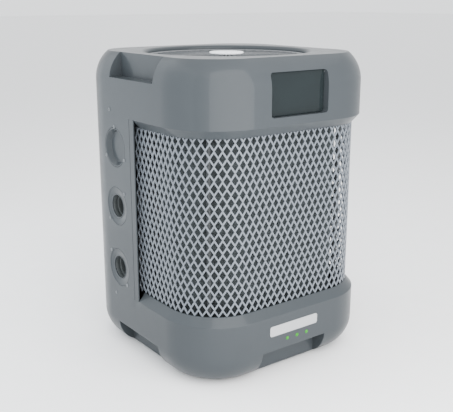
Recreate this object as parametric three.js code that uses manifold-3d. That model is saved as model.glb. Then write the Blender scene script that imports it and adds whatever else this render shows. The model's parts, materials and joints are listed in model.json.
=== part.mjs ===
// Vertical-discharge swimming-pool heat pump, as separate pieces in one assembly.
// Millimetres. The origin is on the floor under the middle of the unit and +Z is up.
// The control panel faces -Y and the water connections face -X.

import * as THREE from 'three';
import { mergeVertices } from 'three/addons/utils/BufferGeometryUtils.js';
import Module from 'manifold-3d';

const wasm = await Module();
wasm.setup();

// ---- Driving dimensions --------------------------------------------------

const WIDTH = 556;
const DEPTH = 560;
const HEIGHT = 760;
const CORNER_RADIUS = 148;
const WALL = 4;
const GAP = 0.3;
const LARGE = 900;

const ROUND = { top: 90, topStart: 691, bottom: 78, bottomStart: 77.7, segments: 5 };
const BAND = { lower: 158, upper: 611, lip: 17.5, slope: 20, bottom: 4 };
const PANEL = { edge: -9.6, overlap: 24, screwY: 103.5, tabHalf: 14 };
const HANDLE = { half: 99, floor: 702, depth: 34 };
const FOOTHOLD = { halfX: 99.5, halfY: 95, top: 70, depth: 43 };
const DISPLAY = { half: 84.7, low: 630, high: 728.6, back: 34, flapFace: 15 };

const MESH = { inset: 18, thickness: 3, pitch: 82, rows: 4, rail: 12, bar: 10 };
const PAN = { inset: 40, floor: 26, thickness: 4, rim: 40, rimWall: 3 };
const POST = { inset: 50, radius: 6, top: 735.7, bossRadius: 9 };
const FOOT = { x: 163, y: 165, radius: 22, height: 25.7 };
const BOSS = { inset: 62, radius: 8 };
const DRAIN = { y: 100, bore: 8, radius: 11, low: 6 };

const GUARD = { opening: 204, ledge: 190, seat: 742, rimTop: 749, hubTop: 751.7, capRadius: 42.5 };
const RIBS = { hub: 40, rings: [92, 144], spokes: 8, root: 30, half: 2, rim: 16, cap: 5 };
const SHROUD = { throat: 183, wall: 3, low: 650, high: 737.7, flare: 200, flange: 206 };
const MOTOR = { radius: 62, base: 560.3, top: 635, shaft: 6, shaftTop: 712, bore: 6.8, neck: 35 };
const IMPELLER = { hub: 50, low: 655, high: 700, tip: 176, blades: 5, pitchDeg: 28, blade: 3 };
const BLADE = { root: 40, mid: 108, end: 183, rootEdge: [-34, 26], midEdge: [-70, 40], endEdge: [-34, 59] };
const NUT = { bore: 7.4, radius: 11, height: 8 };
const BRACKET = { half: 163, flange: 200, base: 556, sheet: 4, width: 70 };

const COIL = { inset: 60, thickness: 26, low: 31, high: 590, clear: 22, plate: 2 };
const COMPRESSOR = { x: 62, y: 40, radius: 59, low: 46, high: 268 };
const MOUNTING = { plate: 92, reach: 76, pad: 9 };
const TERMINALS = { half: 24, depth: 20, low: 185, high: 240 };
const ACCUMULATOR = { x: 150, y: 64, radius: 30, low: 70, high: 230 };
const VALVE = { x: 70, y: 40, z: 340, radius: 16, half: 50, stub: 7, reach: 32, pitch: 32 };
const SOLENOID = { radius: 14, length: 44 };
const DRIER = { x: -20, y: -90, low: 200, high: 320, radius: 18 };
const EXPANSION = { low: 130, radius: 14, outlet: 150 };
const PIPE = { gas: 6, liquid: 4, discharge: 5, topRun: 530, liquidRun: 545 };
const HEADER = { x: 6, y: 207, radius: 8, low: 90, high: 540, turnY: 120, rise: 90 };
const SUPPLY = { x1: -90, x2: -150, y1: -60, y2: -4 };

const EXCHANGER = { x: -140, y: 82.5, radius: 75, wall: 5, low: 31, high: 480, helix: 50, turns: 3 };
const TUBE = { radius: 5, stub: 22, topTurn: 60, bottomTurn: 50 };
const PORT = { y: 82.5, upper: 533, outlet: 384.5, inlet: 223, bore: 25, socket: 30, face: 262 };
const RING = { outer: 48.2, hole: 48.7, bore: 32, flange: 60, sheet: 3, dish: 12 };
const SWITCH = { x: -240, stem: 9, stemHeight: 14, halfX: 16, halfY: 18, low: 12, high: 50 };

const BOX = { x1: -190, x2: -30, y1: 178, y2: 246, z1: 330, z2: 545, sheet: 2 };
const BOARD = { x1: -178, x2: -42, z1: 345, z2: 495, stand: 5, sheet: 2, post: 4, margin: 10 };
const RELAY = { x1: -165, x2: -115, z1: 375, z2: 440, depth: 32 };
const CAPACITOR = { x1: -95, x2: -60, z1: 390, z2: 470, depth: 24 };
const BLOCK = { x1: -150, x2: -70, z1: 508, z2: 530, depth: 22, ways: 5, pitch: 16, slot: 12 };
const GLAND = { x: 60, z: 56, hole: 10.5, thread: 10, nut: 13, bore: 5 };
const CONTROLLER = { half: 78, low: 636, high: 716, front: 258, corner: 6 };
const WINDOW = { half: 34, low: 654, high: 702, depth: 2, corner: 2 };
const KEY = { x: 57, upper: 689, lower: 658, radius: 5, proud: 1.5, length: 4.5, clear: 0.5 };
const FLAP = { half: 82.5, low: 632, high: 726, sheet: 3, pivotZ: 723, pin: 2, corner: 8 };
const LAMP = { x: [-24.5, 6.5, 37.5], z: 92.8, radius: 4.3, hole: 4.7, flange: 7 };
const PLATE = { x: -4, z: 121, width: 150, height: 26, depth: 1.5, sheet: 1.2, corner: 6 };

const COLORS = {
  casing: [0x7f878d, 0.3, 0], mesh: [0xbcc1c8, 0.4, 0], dark: [0x25282a, 0.6, 0],
  panel: [0x3a4244, 0.15, 0], green: [0x5cb53a, 0.2, 0], steel: [0xa9adb0, 0.35, 0.9],
  copper: [0xb5653a, 0.3, 1], fin: [0x8f9ba3, 0.5, 0.8], rubber: [0x17181a, 0.9, 0],
  black: [0x141516, 0.4, 0], board: [0x1f5a34, 0.6, 0], brass: [0xb89a54, 0.35, 1],
  titanium: [0x8c8984, 0.35, 0.9], silver: [0xd5d8da, 0.3, 0.8],
};

// ---- Solids ----------------------------------------------------------------

function toManifold(geometry) {
  const bare = geometry.clone();
  bare.deleteAttribute('normal');
  bare.deleteAttribute('uv');
  const merged = mergeVertices(bare, 1e-3);
  const index = merged.index.array;
  const kept = [];
  for (let i = 0; i < index.length; i += 3) {
    const [a, b, c] = [index[i], index[i + 1], index[i + 2]];
    if (a !== b && b !== c && c !== a) kept.push(a, b, c);
  }
  const vertProperties = new Float32Array(merged.attributes.position.array);
  const mesh = new wasm.Mesh({ numProp: 3, vertProperties, triVerts: new Uint32Array(kept) });
  return new wasm.Manifold(mesh);
}

function toGeometry(body) {
  const mesh = body.getMesh();
  const geometry = new THREE.BufferGeometry();
  geometry.setAttribute('position', new THREE.BufferAttribute(mesh.vertProperties, 3));
  geometry.setIndex(new THREE.BufferAttribute(mesh.triVerts, 1));
  geometry.computeVertexNormals();
  return geometry;
}

function box(x1, x2, y1, y2, z1, z2) {
  const geometry = new THREE.BoxGeometry(x2 - x1, y2 - y1, z2 - z1);
  geometry.translate((x1 + x2) / 2, (y1 + y2) / 2, (z1 + z2) / 2);
  return toManifold(geometry);
}

// A solid of revolution about Z from a profile of [radius, height] points.
function revolve(profile, segments = 20) {
  let area = 0;
  profile.forEach(([r, z], i) => {
    const [nextR, nextZ] = profile[(i + 1) % profile.length];
    area += r * nextZ - nextR * z;
  });
  const ordered = area > 0 ? profile : [...profile].reverse();
  const points = ordered.map(([r, z]) => new THREE.Vector2(r, z));
  const onAxis = points[0].x === 0 && points[points.length - 1].x === 0;
  if (!onAxis) points.push(points[0].clone());
  const geometry = new THREE.LatheGeometry(points, segments);
  geometry.rotateX(Math.PI / 2);
  return toManifold(geometry);
}

function disc(radius, low, high, segments = 20) {
  return revolve([[0, low], [radius, low], [radius, high], [0, high]], segments);
}

function annulus(inner, outer, low, high, segments = 20) {
  return revolve([[inner, low], [outer, low], [outer, high], [inner, high]], segments);
}

// Turns a solid about Z so that its axis points along -X, then moves it to y, z.
function alongX(body, y, z) {
  return body.rotate([0, -90, 0]).translate([0, y, z]);
}

// Turns a solid about Z so that its axis points along -Y, then moves it to x, z.
function alongY(body, x, z) {
  return body.rotate([90, 0, 0]).translate([x, 0, z]);
}

function roundRect(width, height, radius) {
  const [x, y] = [width / 2, height / 2];
  const shape = new THREE.Shape();
  shape.absarc(x - radius, y - radius, radius, 0, Math.PI / 2);
  shape.absarc(radius - x, y - radius, radius, Math.PI / 2, Math.PI);
  shape.absarc(radius - x, radius - y, radius, Math.PI, 1.5 * Math.PI);
  shape.absarc(x - radius, radius - y, radius, 1.5 * Math.PI, 2 * Math.PI);
  return shape;
}

// The casing's plan, moved in by an inset.
function plan(inset) {
  return roundRect(WIDTH - 2 * inset, DEPTH - 2 * inset, CORNER_RADIUS - inset);
}

function prism(shape, low, high, curveSegments = 3) {
  const depth = high - low;
  const geometry = new THREE.ExtrudeGeometry(shape, { depth, curveSegments, bevelEnabled: false });
  return toManifold(geometry.translate(0, 0, low));
}

// A prism whose edges are turned in beyond its two ends.
function bevelled(inset, low, high, thickness, size, bevelSegments) {
  const options = {
    depth: high - low, curveSegments: 3, bevelThickness: thickness,
    bevelSize: size, bevelOffset: -size, bevelSegments,
  };
  return toManifold(new THREE.ExtrudeGeometry(plan(inset), options).translate(0, 0, low));
}

// A round bar of constant section along straight runs joined by bends.
function pipe(points, radius, bend = 22, steps = 18) {
  const path = new THREE.CurvePath();
  const corners = points.map((p) => new THREE.Vector3(...p));
  let from = corners[0];
  for (let i = 1; i < corners.length - 1; i += 1) {
    const before = corners[i].clone().lerp(corners[i - 1], bend / corners[i].distanceTo(corners[i - 1]));
    const after = corners[i].clone().lerp(corners[i + 1], bend / corners[i].distanceTo(corners[i + 1]));
    path.add(new THREE.LineCurve3(from, before));
    path.add(new THREE.QuadraticBezierCurve3(before, corners[i], after));
    from = after;
  }
  path.add(new THREE.LineCurve3(from, corners[corners.length - 1]));
  return tube(path, radius, steps);
}

function tube(path, radius, steps) {
  const section = new THREE.Shape();
  section.absarc(0, 0, radius, 0, 2 * Math.PI);
  const geometry = new THREE.ExtrudeGeometry(section, { steps, extrudePath: path, curveSegments: 3 });
  return toManifold(geometry);
}

// ---- Casing ----------------------------------------------------------------

// The quarter of the plan that the service panel closes.
function panelCorner(low, high, margin = 0) {
  const edge = PANEL.edge - margin;
  return box(-WIDTH, -edge, edge, DEPTH, low, high);
}

function topBand(inset, top) {
  const radius = ROUND.top - inset;
  const rounded = bevelled(inset, BAND.upper / 2, ROUND.topStart, radius, radius, ROUND.segments);
  const lipped = bevelled(inset, BAND.upper + inset, LARGE, BAND.slope, BAND.lip, 1);
  return rounded.intersect(lipped).intersect(box(-WIDTH, WIDTH, -DEPTH, DEPTH, 0, top));
}

function bottomBand(inset, bottom) {
  const radius = ROUND.bottom - inset;
  const rounded = bevelled(inset, ROUND.bottomStart, LARGE, radius, radius, ROUND.segments);
  const lipped = bevelled(inset, -LARGE, BAND.lower - inset, BAND.slope, BAND.lip, 1);
  return rounded.intersect(lipped).intersect(box(-WIDTH, WIDTH, -DEPTH, DEPTH, bottom, LARGE));
}

// A handle pocket on one side, grown by the wall for its outer skin.
function handlePocket(side, wall) {
  const inner = WIDTH / 2 - HANDLE.depth - wall;
  const half = HANDLE.half + wall;
  const [x1, x2] = side < 0 ? [-WIDTH, -inner] : [inner, WIDTH];
  return box(x1, x2, -half, half, HANDLE.floor - wall, LARGE);
}

function displayRecess(wall) {
  const half = DISPLAY.half + wall;
  const back = DEPTH / 2 - DISPLAY.back - wall;
  return box(-half, half, -DEPTH, -back, DISPLAY.low - wall, DISPLAY.high + wall);
}

function cornerPoints(inset) {
  const reach = (CORNER_RADIUS - inset) / Math.SQRT2;
  const x = WIDTH / 2 - CORNER_RADIUS + reach;
  const y = DEPTH / 2 - CORNER_RADIUS + reach;
  return [[-x, -y], [x, -y], [x, y], [-x, y]];
}

function topCover() {
  let cavity = topBand(WALL, HEIGHT - WALL).add(prism(plan(BAND.lip + WALL), 0, BAND.upper + WALL));
  let recesses = displayRecess(0);
  for (const side of [-1, 1]) {
    cavity = cavity.subtract(handlePocket(side, WALL));
    recesses = recesses.add(handlePocket(side, 0));
  }
  cavity = cavity.subtract(displayRecess(WALL));
  let cover = topBand(0, HEIGHT).subtract(cavity).subtract(recesses);
  cover = cover.add(annulus(GUARD.ledge, GUARD.opening + WALL, GUARD.seat - WALL, HEIGHT - 1, 30));
  for (const [x, y] of cornerPoints(POST.inset)) {
    cover = cover.add(disc(POST.bossRadius, POST.top + GAP, HEIGHT - 1, 10).translate([x, y, 0]));
  }
  cover = cover.subtract(disc(GUARD.opening, GUARD.seat, LARGE, 30));
  cover = cover.subtract(flapPivot(FLAP.pin + GAP, DISPLAY.half + WALL));
  const behind = prism(plan(WALL), 0, BAND.upper + 2 * WALL).intersect(panelCorner(0, LARGE, GAP));
  return cover.subtract(behind).subtract(panelCorner(0, BAND.upper + GAP, GAP));
}

function footholds(wall) {
  const x = WIDTH / 2 - FOOTHOLD.depth - wall;
  const y = DEPTH / 2 - FOOTHOLD.depth - wall;
  const [halfX, halfY] = [FOOTHOLD.halfX + wall, FOOTHOLD.halfY + wall];
  const top = FOOTHOLD.top + wall;
  return box(-WIDTH, -x, -halfY, halfY, -HEIGHT, top)
    .add(box(x, WIDTH, -halfY, halfY, -HEIGHT, top))
    .add(box(-halfX, halfX, -DEPTH, -y, -HEIGHT, top))
    .add(box(-halfX, halfX, y, DEPTH, -HEIGHT, top));
}

function baseCasing() {
  const straight = prism(plan(BAND.lip + WALL), BAND.lower - WALL, LARGE);
  const cavity = bottomBand(WALL, -HEIGHT).add(straight).subtract(footholds(WALL));
  let casing = bottomBand(0, BAND.bottom).subtract(cavity).subtract(footholds(0));
  for (const [x, y] of cornerPoints(BOSS.inset)) {
    casing = casing.add(disc(BOSS.radius, BAND.bottom, PAN.floor - GAP, 10).translate([x, y, 0]));
  }
  for (const x of LAMP.x) {
    casing = casing.subtract(alongY(disc(LAMP.hole, 0, DEPTH, 12), x, LAMP.z));
  }
  const face = DEPTH / 2 - PLATE.depth;
  const seat = prism(roundRect(PLATE.width + 1, PLATE.height + 1, PLATE.corner), face, DEPTH);
  casing = casing.subtract(alongY(seat, PLATE.x, PLATE.z));
  casing = casing.subtract(alongY(disc(GLAND.hole, -DEPTH, 0, 12), GLAND.x, GLAND.z));
  const behind = prism(plan(WALL), BAND.lower - 2 * WALL, LARGE).intersect(panelCorner(0, LARGE, GAP));
  return casing.subtract(behind).subtract(panelCorner(BAND.lower - GAP, LARGE, GAP));
}

// A stepped tongue that slips behind the band above or below the service panel.
function panelTab(edge, direction) {
  const inner = WIDTH / 2 - WALL;
  const [y1, y2] = [PANEL.screwY - PANEL.tabHalf, PANEL.screwY + PANEL.tabHalf];
  const ends = [edge - direction * 5, edge + direction * 26].sort((a, b) => a - b);
  const root = [edge - direction * 5, edge - direction * 1].sort((a, b) => a - b);
  const tongue = box(-inner + GAP, -inner + WALL, y1, y2, ends[0], ends[1]);
  return tongue.add(box(-inner - 1, -inner + WALL, y1, y2, root[0], root[1]));
}

function servicePanel() {
  const wall = prism(plan(0), BAND.lower, BAND.upper).subtract(prism(plan(WALL), 0, LARGE));
  let panel = wall.intersect(panelCorner(0, LARGE));
  panel = panel.add(panelTab(BAND.upper, 1)).add(panelTab(BAND.lower, -1));
  for (const z of [PORT.upper, PORT.outlet, PORT.inlet]) {
    panel = panel.subtract(alongX(disc(RING.hole + GAP, 0, WIDTH), PORT.y, z));
  }
  return panel;
}

// The screen's plan line, from behind the service panel round the front and right to the rear.
function screenLine(inset) {
  const radius = CORNER_RADIUS - inset;
  const x = WIDTH / 2 - inset - radius;
  const y = DEPTH / 2 - inset - radius;
  const end = PANEL.edge + PANEL.overlap;
  const line = new THREE.Path();
  line.moveTo(-x - radius, end);
  line.lineTo(-x - radius, -y);
  line.absarc(-x, -y, radius, Math.PI, 1.5 * Math.PI);
  line.absarc(x, -y, radius, 1.5 * Math.PI, 2 * Math.PI);
  line.absarc(x, y, radius, 0, 0.5 * Math.PI);
  line.lineTo(-end, y + radius);
  return line;
}

function diamond(width, height) {
  const geometry = new THREE.CylinderGeometry(1, 1, WALL * 10, 4);
  geometry.scale(width / 2, 1, height / 2);
  return toManifold(geometry);
}

// The open lattice that wraps three corners of the unit, between the two bands.
function meshScreen() {
  const [low, high] = [BAND.lower + BAND.slope + GAP, BAND.upper - BAND.slope - GAP];
  const outer = prism(plan(MESH.inset), low, high);
  const inner = prism(plan(MESH.inset + MESH.thickness), 0, LARGE);
  let screen = outer.subtract(inner).subtract(panelCorner(0, LARGE, -PANEL.overlap));
  const rise = (high - low - 2 * MESH.rail) / (MESH.rows + 1);
  const line = screenLine(MESH.inset);
  const count = Math.floor(line.getLength() / MESH.pitch);
  const hole = diamond(MESH.pitch - MESH.bar, 2 * rise - 2 * MESH.bar);
  for (let row = 0; row < MESH.rows; row += 1) {
    const columns = row % 2 ? count - 1 : count;
    for (let column = 0; column < columns; column += 1) {
      const along = (column + 0.5 + (row % 2) / 2) / count;
      const point = line.getPointAt(along);
      const tangent = line.getTangentAt(along);
      const turn = THREE.MathUtils.radToDeg(Math.atan2(tangent.y, tangent.x));
      const z = low + MESH.rail + rise * (row + 1);
      screen = screen.subtract(hole.rotate([0, 0, turn]).translate([point.x, point.y, z]));
    }
  }
  return screen;
}

function basePan() {
  const notch = footholds(WALL + GAP * 2);
  const keep = prism(plan(PAN.inset), PAN.floor, PAN.rim).subtract(notch);
  const rimless = footholds(WALL + GAP * 2 + PAN.rimWall);
  const hollow = prism(plan(PAN.inset + PAN.rimWall), PAN.floor + PAN.thickness, LARGE).subtract(rimless);
  return keep.subtract(hollow).subtract(disc(DRAIN.bore, 0, LARGE, 12).translate([0, DRAIN.y, 0]));
}

function foot() {
  const { radius, height } = FOOT;
  return revolve([[0, 0], [radius - 2, 0], [radius, 3], [radius - 4, height], [0, height]], 16);
}

// ---- Fan -------------------------------------------------------------------

function guardHeight(radius) {
  const share = (GUARD.opening - radius) / GUARD.opening;
  return GUARD.rimTop - WALL + share * (GUARD.hubTop - GUARD.rimTop);
}

function fanGuard() {
  const { hub, rings, spokes, root, half } = RIBS;
  const rim = GUARD.opening - 2;
  let guard = annulus(rim - RIBS.rim, rim, GUARD.seat + GAP, GUARD.rimTop, 24);
  guard = guard.add(disc(hub, guardHeight(hub) - 1, GUARD.hubTop));
  for (const radius of rings) {
    const z = guardHeight(radius);
    guard = guard.add(annulus(radius - half, radius + half, z, z + WALL));
  }
  for (let spoke = 0; spoke < spokes; spoke += 1) {
    const bar = box(root, rim - RIBS.rim / 2, -half, half, GUARD.rimTop - WALL, GUARD.rimTop - 1);
    guard = guard.add(bar.rotate([0, 0, (360 / spokes) * spoke]));
  }
  return guard;
}

function fanShroud() {
  const { throat, wall, low, high, flare, flange } = SHROUD;
  const outer = throat + wall;
  return revolve([
    [throat, high], [throat, low + 28], [flare - wall, low], [flange, low], [flange, low + wall],
    [flare, low + wall], [outer, low + 29], [outer, high - wall], [flare, high - wall], [flare, high],
  ], 24);
}

function blade() {
  const { root, mid, end, rootEdge, midEdge, endEdge } = BLADE;
  const shape = new THREE.Shape();
  shape.moveTo(root, rootEdge[0]);
  shape.quadraticCurveTo(mid, midEdge[0], end, endEdge[0]);
  shape.lineTo(end, endEdge[1]);
  shape.quadraticCurveTo(mid, midEdge[1], root, rootEdge[1]);
  shape.closePath();
  return prism(shape, -IMPELLER.blade / 2, IMPELLER.blade / 2, 4).rotate([IMPELLER.pitchDeg, 0, 0]);
}

function fanImpeller() {
  const { hub, low, high, tip, blades } = IMPELLER;
  let impeller = disc(hub, low, high, 20);
  for (let i = 0; i < blades; i += 1) {
    const placed = blade().translate([0, 0, (low + high) / 2]).rotate([0, 0, (360 / blades) * i]);
    impeller = impeller.add(placed);
  }
  return impeller.intersect(disc(tip, 0, LARGE, 30)).subtract(disc(MOTOR.bore, 0, LARGE, 12));
}

function fanMotor() {
  const { radius, base, top, bore } = MOTOR;
  const neck = top - MOTOR.neck;
  return revolve([[0, base], [radius, base], [radius, top - 12], [radius - 14, top],
    [bore, top], [bore, neck], [0, neck]], 20);
}

function motorBracket() {
  const { half, flange, base, sheet, width } = BRACKET;
  const top = SHROUD.low - GAP;
  let strap = box(-half, half, -width / 2, width / 2, base, base + sheet);
  for (const side of [-1, 1]) {
    const leg = [side * half, side * (half - sheet)].sort((a, b) => a - b);
    const ear = [side * (half - sheet), side * flange].sort((a, b) => a - b);
    strap = strap.add(box(leg[0], leg[1], -width / 2, width / 2, base, top));
    strap = strap.add(box(ear[0], ear[1], -width / 2, width / 2, top - sheet, top));
  }
  return strap;
}

// ---- Air coil and refrigerant circuit ----------------------------------------

function evaporatorCoil() {
  const { inset, thickness, low, high, clear } = COIL;
  const ring = prism(plan(inset), low, high).subtract(prism(plan(inset + thickness), 0, LARGE));
  return ring.subtract(box(-WIDTH, clear, -clear, DEPTH, 0, LARGE));
}

// A tube sheet across the left end of the coil, or across its rear end.
function coilPlate(atRear) {
  const { inset, thickness, low, high, clear, plate } = COIL;
  const half = atRear ? DEPTH / 2 : WIDTH / 2;
  const [outer, inner] = [half - inset + 3, half - inset - thickness - 3];
  const [near, far] = [clear - GAP, clear - GAP - plate];
  if (atRear) return box(far, near, inner, outer, low, high + 2);
  return box(-outer, -inner, -near, -far, low, high + 2);
}

function compressor() {
  const { radius, low, high } = COMPRESSOR;
  let body = revolve([[0, low], [radius - 18, low], [radius, low + 18], [radius, high - 26],
    [radius - 24, high - 4], [0, high]], 20);
  body = body.add(disc(MOUNTING.plate, low - 4, low + 1, 3));
  for (let i = 0; i < 3; i += 1) {
    const foot = PAN.floor + PAN.thickness + GAP;
    const pad = disc(MOUNTING.pad, foot, low - 3, 8).translate([MOUNTING.reach, 0, 0]);
    body = body.add(pad.rotate([0, 0, 30 + 120 * i]));
  }
  return body;
}

function terminalCover() {
  const { radius } = COMPRESSOR;
  const { half, depth, low, high } = TERMINALS;
  const shell = box(-half, half, -radius - depth, -radius + depth, low, high);
  return shell.subtract(disc(radius + GAP, 0, LARGE, 20));
}

function accumulator() {
  const { radius, low, high } = ACCUMULATOR;
  return revolve([[0, low], [radius - 12, low], [radius, low + 12], [radius, high - 12],
    [radius - 12, high], [0, high]], 16);
}

function fourWayValve() {
  const { radius, half, stub, reach, pitch } = VALVE;
  let valve = disc(radius, -half, half, 14).rotate([0, 90, 0]);
  valve = valve.add(disc(stub, -reach, 0, 10));
  for (const x of [-pitch, 0, pitch]) {
    valve = valve.add(disc(stub, 0, reach, 10).translate([x, 0, 0]));
  }
  return valve.add(disc(SOLENOID.radius, 0, SOLENOID.length, 12).rotate([90, 0, 0]));
}

function dischargePipe() {
  const { x, y, high } = COMPRESSOR;
  const end = VALVE.z - VALVE.reach - GAP;
  const points = [[x, y, high + GAP], [x, y, end - 14], [VALVE.x, y, end - 8], [VALVE.x, y, end]];
  return pipe(points, PIPE.discharge, 4, 6);
}

function suctionPipe() {
  const start = VALVE.z + VALVE.reach + GAP;
  const { x, y, high } = ACCUMULATOR;
  const level = start + 45;
  return pipe([[VALVE.x, VALVE.y, start], [VALVE.x, VALVE.y, level], [VALVE.x, y + 12, level],
    [x, y, level], [x, y, high + GAP]], PIPE.gas, 16, 20);
}

function evaporatorPipe() {
  const start = VALVE.z + VALVE.reach + GAP;
  const x = VALVE.x + VALVE.pitch;
  const level = start + HEADER.rise;
  const ends = [[HEADER.x, HEADER.y, HEADER.low], [HEADER.x, HEADER.y, HEADER.high]];
  const riser = pipe(ends, HEADER.radius, 0, 1);
  return pipe([[x, VALVE.y, start], [x, VALVE.y, level], [HEADER.x, HEADER.turnY, level],
    [HEADER.x, HEADER.y, level]], PIPE.gas).add(riser);
}

function exchangerPipe() {
  const start = VALVE.z + VALVE.reach + GAP;
  const x = VALVE.x - VALVE.pitch;
  const end = EXCHANGER.x + EXCHANGER.helix;
  return pipe([[x, VALVE.y, start], [x, VALVE.y, PIPE.topRun], [end, EXCHANGER.y, PIPE.topRun],
    [end, EXCHANGER.y, EXCHANGER.high + TUBE.stub + GAP]], PIPE.gas);
}

function liquidPipe() {
  const { x, y, high } = DRIER;
  const start = EXCHANGER.high + TUBE.stub + GAP;
  return pipe([[EXCHANGER.x, EXCHANGER.y, start], [EXCHANGER.x, EXCHANGER.y, PIPE.liquidRun],
    [x, y, PIPE.liquidRun], [x, y, high + GAP]], PIPE.liquid);
}

function filterDrier() {
  const { low, high, radius } = DRIER;
  return revolve([[0, low], [5, low], [radius, low + 16], [radius, high - 16], [5, high], [0, high]], 14);
}

// The valve body, its drive head, and the line to the coil's left end.
function expansionValve() {
  const { x, y } = DRIER;
  const top = DRIER.low - GAP;
  const body = revolve([[0, EXPANSION.low], [EXPANSION.radius, EXPANSION.low],
    [EXPANSION.radius, EXPANSION.outlet + 20], [5, EXPANSION.outlet + 28], [5, top], [0, top]], 14);
  const end = WIDTH / 2 - COIL.inset - COIL.thickness / 2;
  const plateFace = COIL.plate + GAP - COIL.clear + GAP;
  const level = EXPANSION.outlet;
  const { x1, x2, y1, y2 } = SUPPLY;
  const line = pipe([[x, y, level], [x1, y1, level], [x2, y2, level], [-end, y2, level],
    [-end, plateFace, level]], PIPE.liquid, 8, 16);
  return body.translate([x, y, 0]).add(line);
}

// ---- Water side --------------------------------------------------------------

function exchangerShell() {
  const { radius, wall, low, high, helix } = EXCHANGER;
  const inner = disc(radius - wall, low + wall, high - wall);
  let shell = disc(radius, low, high).subtract(inner);
  for (const z of [PORT.inlet, PORT.outlet]) {
    shell = shell.subtract(alongX(disc(PORT.bore, radius - 20, radius + 20, 16), 0, z));
  }
  for (const x of [0, helix]) {
    shell = shell.subtract(disc(PIPE.gas + 1.5, high - 20, high + 20, 10).translate([x, 0, 0]));
  }
  return shell;
}

function titaniumCoil() {
  const { high, low, helix, turns } = EXCHANGER;
  const [start, end] = [high - TUBE.topTurn, low + TUBE.bottomTurn];
  const top = high + TUBE.stub;
  const points = [new THREE.Vector3(helix, 0, top), new THREE.Vector3(helix, 0, high - 20)];
  const count = turns * 8;
  for (let i = 1; i <= count; i += 1) {
    const angle = (i / count) * turns * 2 * Math.PI;
    const z = start + (end - start) * (i / count);
    points.push(new THREE.Vector3(helix * Math.cos(angle), helix * Math.sin(angle), z));
  }
  points.push(new THREE.Vector3(18, 14, end - 16));
  points.push(new THREE.Vector3(0, 0, end + 20));
  points.push(new THREE.Vector3(0, 0, high / 2));
  points.push(new THREE.Vector3(0, 0, top));
  return tube(new THREE.CatmullRomCurve3(points), TUBE.radius, 52);
}

function waterSocket(z) {
  const body = annulus(PORT.bore, PORT.socket, -EXCHANGER.x, PORT.face);
  const shell = disc(EXCHANGER.radius + GAP, 0, LARGE).translate([EXCHANGER.x, EXCHANGER.y, 0]);
  return alongX(body, PORT.y, z).subtract(shell);
}

function portRing() {
  const face = WIDTH / 2;
  const back = face - WALL - GAP;
  return revolve([[RING.bore, face], [RING.outer, face], [RING.outer, back], [RING.flange, back],
    [RING.flange, back - RING.sheet], [RING.bore, back - RING.sheet]]);
}

function blankCap() {
  const face = WIDTH / 2;
  const back = face - WALL - GAP;
  const floor = face - RING.dish;
  return revolve([[0, floor], [RING.outer - 3, floor], [RING.outer - 3, face], [RING.outer, face],
    [RING.outer, back], [RING.flange, back], [RING.flange, back - RING.sheet],
    [RING.outer, back - RING.sheet], [RING.outer, floor - 3], [0, floor - 3]]);
}

// Cuts a flange flat where the corner of the casing begins.
function trimFlange(body) {
  return body.subtract(box(-WIDTH, 0, DEPTH / 2 - CORNER_RADIUS - GAP, DEPTH, 0, LARGE));
}

function flowSwitch() {
  const base = PORT.inlet + PORT.socket + GAP;
  const { stem, stemHeight, halfX, halfY, low, high } = SWITCH;
  const head = box(-halfX, halfX, -halfY, halfY, base + low, base + high);
  return disc(stem, base, base + stemHeight, 10).add(head);
}

// ---- Electrical box and front controls -----------------------------------------

function electricalBox() {
  const { x1, x2, y1, y2, z1, z2, sheet } = BOX;
  const hollow = box(x1 + sheet, x2 - sheet, y1 + sheet, LARGE, z1 + sheet, z2 - sheet);
  return box(x1, x2, y1, y2, z1, z2).subtract(hollow);
}

function controlBoard() {
  const back = BOX.y1 + BOX.sheet + GAP;
  const { x1, x2, z1, z2, stand, sheet, post, margin } = BOARD;
  let board = box(x1, x2, back + stand, back + stand + sheet, z1, z2);
  for (const x of [x1 + margin, x2 - margin]) {
    for (const z of [z1 + margin, z2 - margin]) {
      board = board.add(disc(post, back, back + stand + 1, 8).rotate([-90, 0, 0]).translate([x, 0, z]));
    }
  }
  for (const part of [RELAY, CAPACITOR]) {
    board = board.add(box(part.x1, part.x2, back + stand + 1, back + part.depth, part.z1, part.z2));
  }
  return board;
}

function terminalBlock() {
  const back = BOX.y1 + BOX.sheet + GAP;
  const { x1, x2, z1, z2, depth, ways, pitch, slot } = BLOCK;
  let block = box(x1, x2, back, back + depth, z1, z2);
  for (let i = 1; i < ways; i += 1) {
    const x = x1 + i * pitch;
    block = block.subtract(box(x - 1, x + 1, back + slot, back + 2 * depth, z1 - 1, z2 + 1));
  }
  return block;
}

function cableGland() {
  const face = DEPTH / 2 - FOOTHOLD.depth;
  const { thread, nut, bore } = GLAND;
  const inside = face - WALL - GAP;
  return revolve([[bore, inside - 6], [nut, inside - 6], [nut, inside], [thread, inside],
    [thread, face + GAP], [nut, face + GAP], [nut, face + 8], [thread, face + 14], [bore, face + 14]], 12);
}

function controllerBody() {
  const back = DEPTH / 2 - DISPLAY.back + GAP;
  const { half, low, high, front, corner } = CONTROLLER;
  const slab = prism(roundRect(2 * half, high - low, corner), back, front);
  let body = alongY(slab, 0, (low + high) / 2);
  for (const [x, z] of keyPlaces()) {
    const pocket = disc(KEY.radius + KEY.clear, front - KEY.length - 1, front + 5, 12);
    body = body.subtract(alongY(pocket, x, z));
  }
  const recess = box(-WINDOW.half, WINDOW.half, -front - 1, -front + WINDOW.depth, WINDOW.low, WINDOW.high);
  return body.subtract(recess);
}

function lcdWindow() {
  const { half, low, high, depth, corner } = WINDOW;
  const { front } = CONTROLLER;
  const outline = roundRect(2 * half - 2 * GAP, high - low - 2 * GAP, corner);
  return alongY(prism(outline, front - depth + GAP, front), 0, (low + high) / 2);
}

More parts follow.
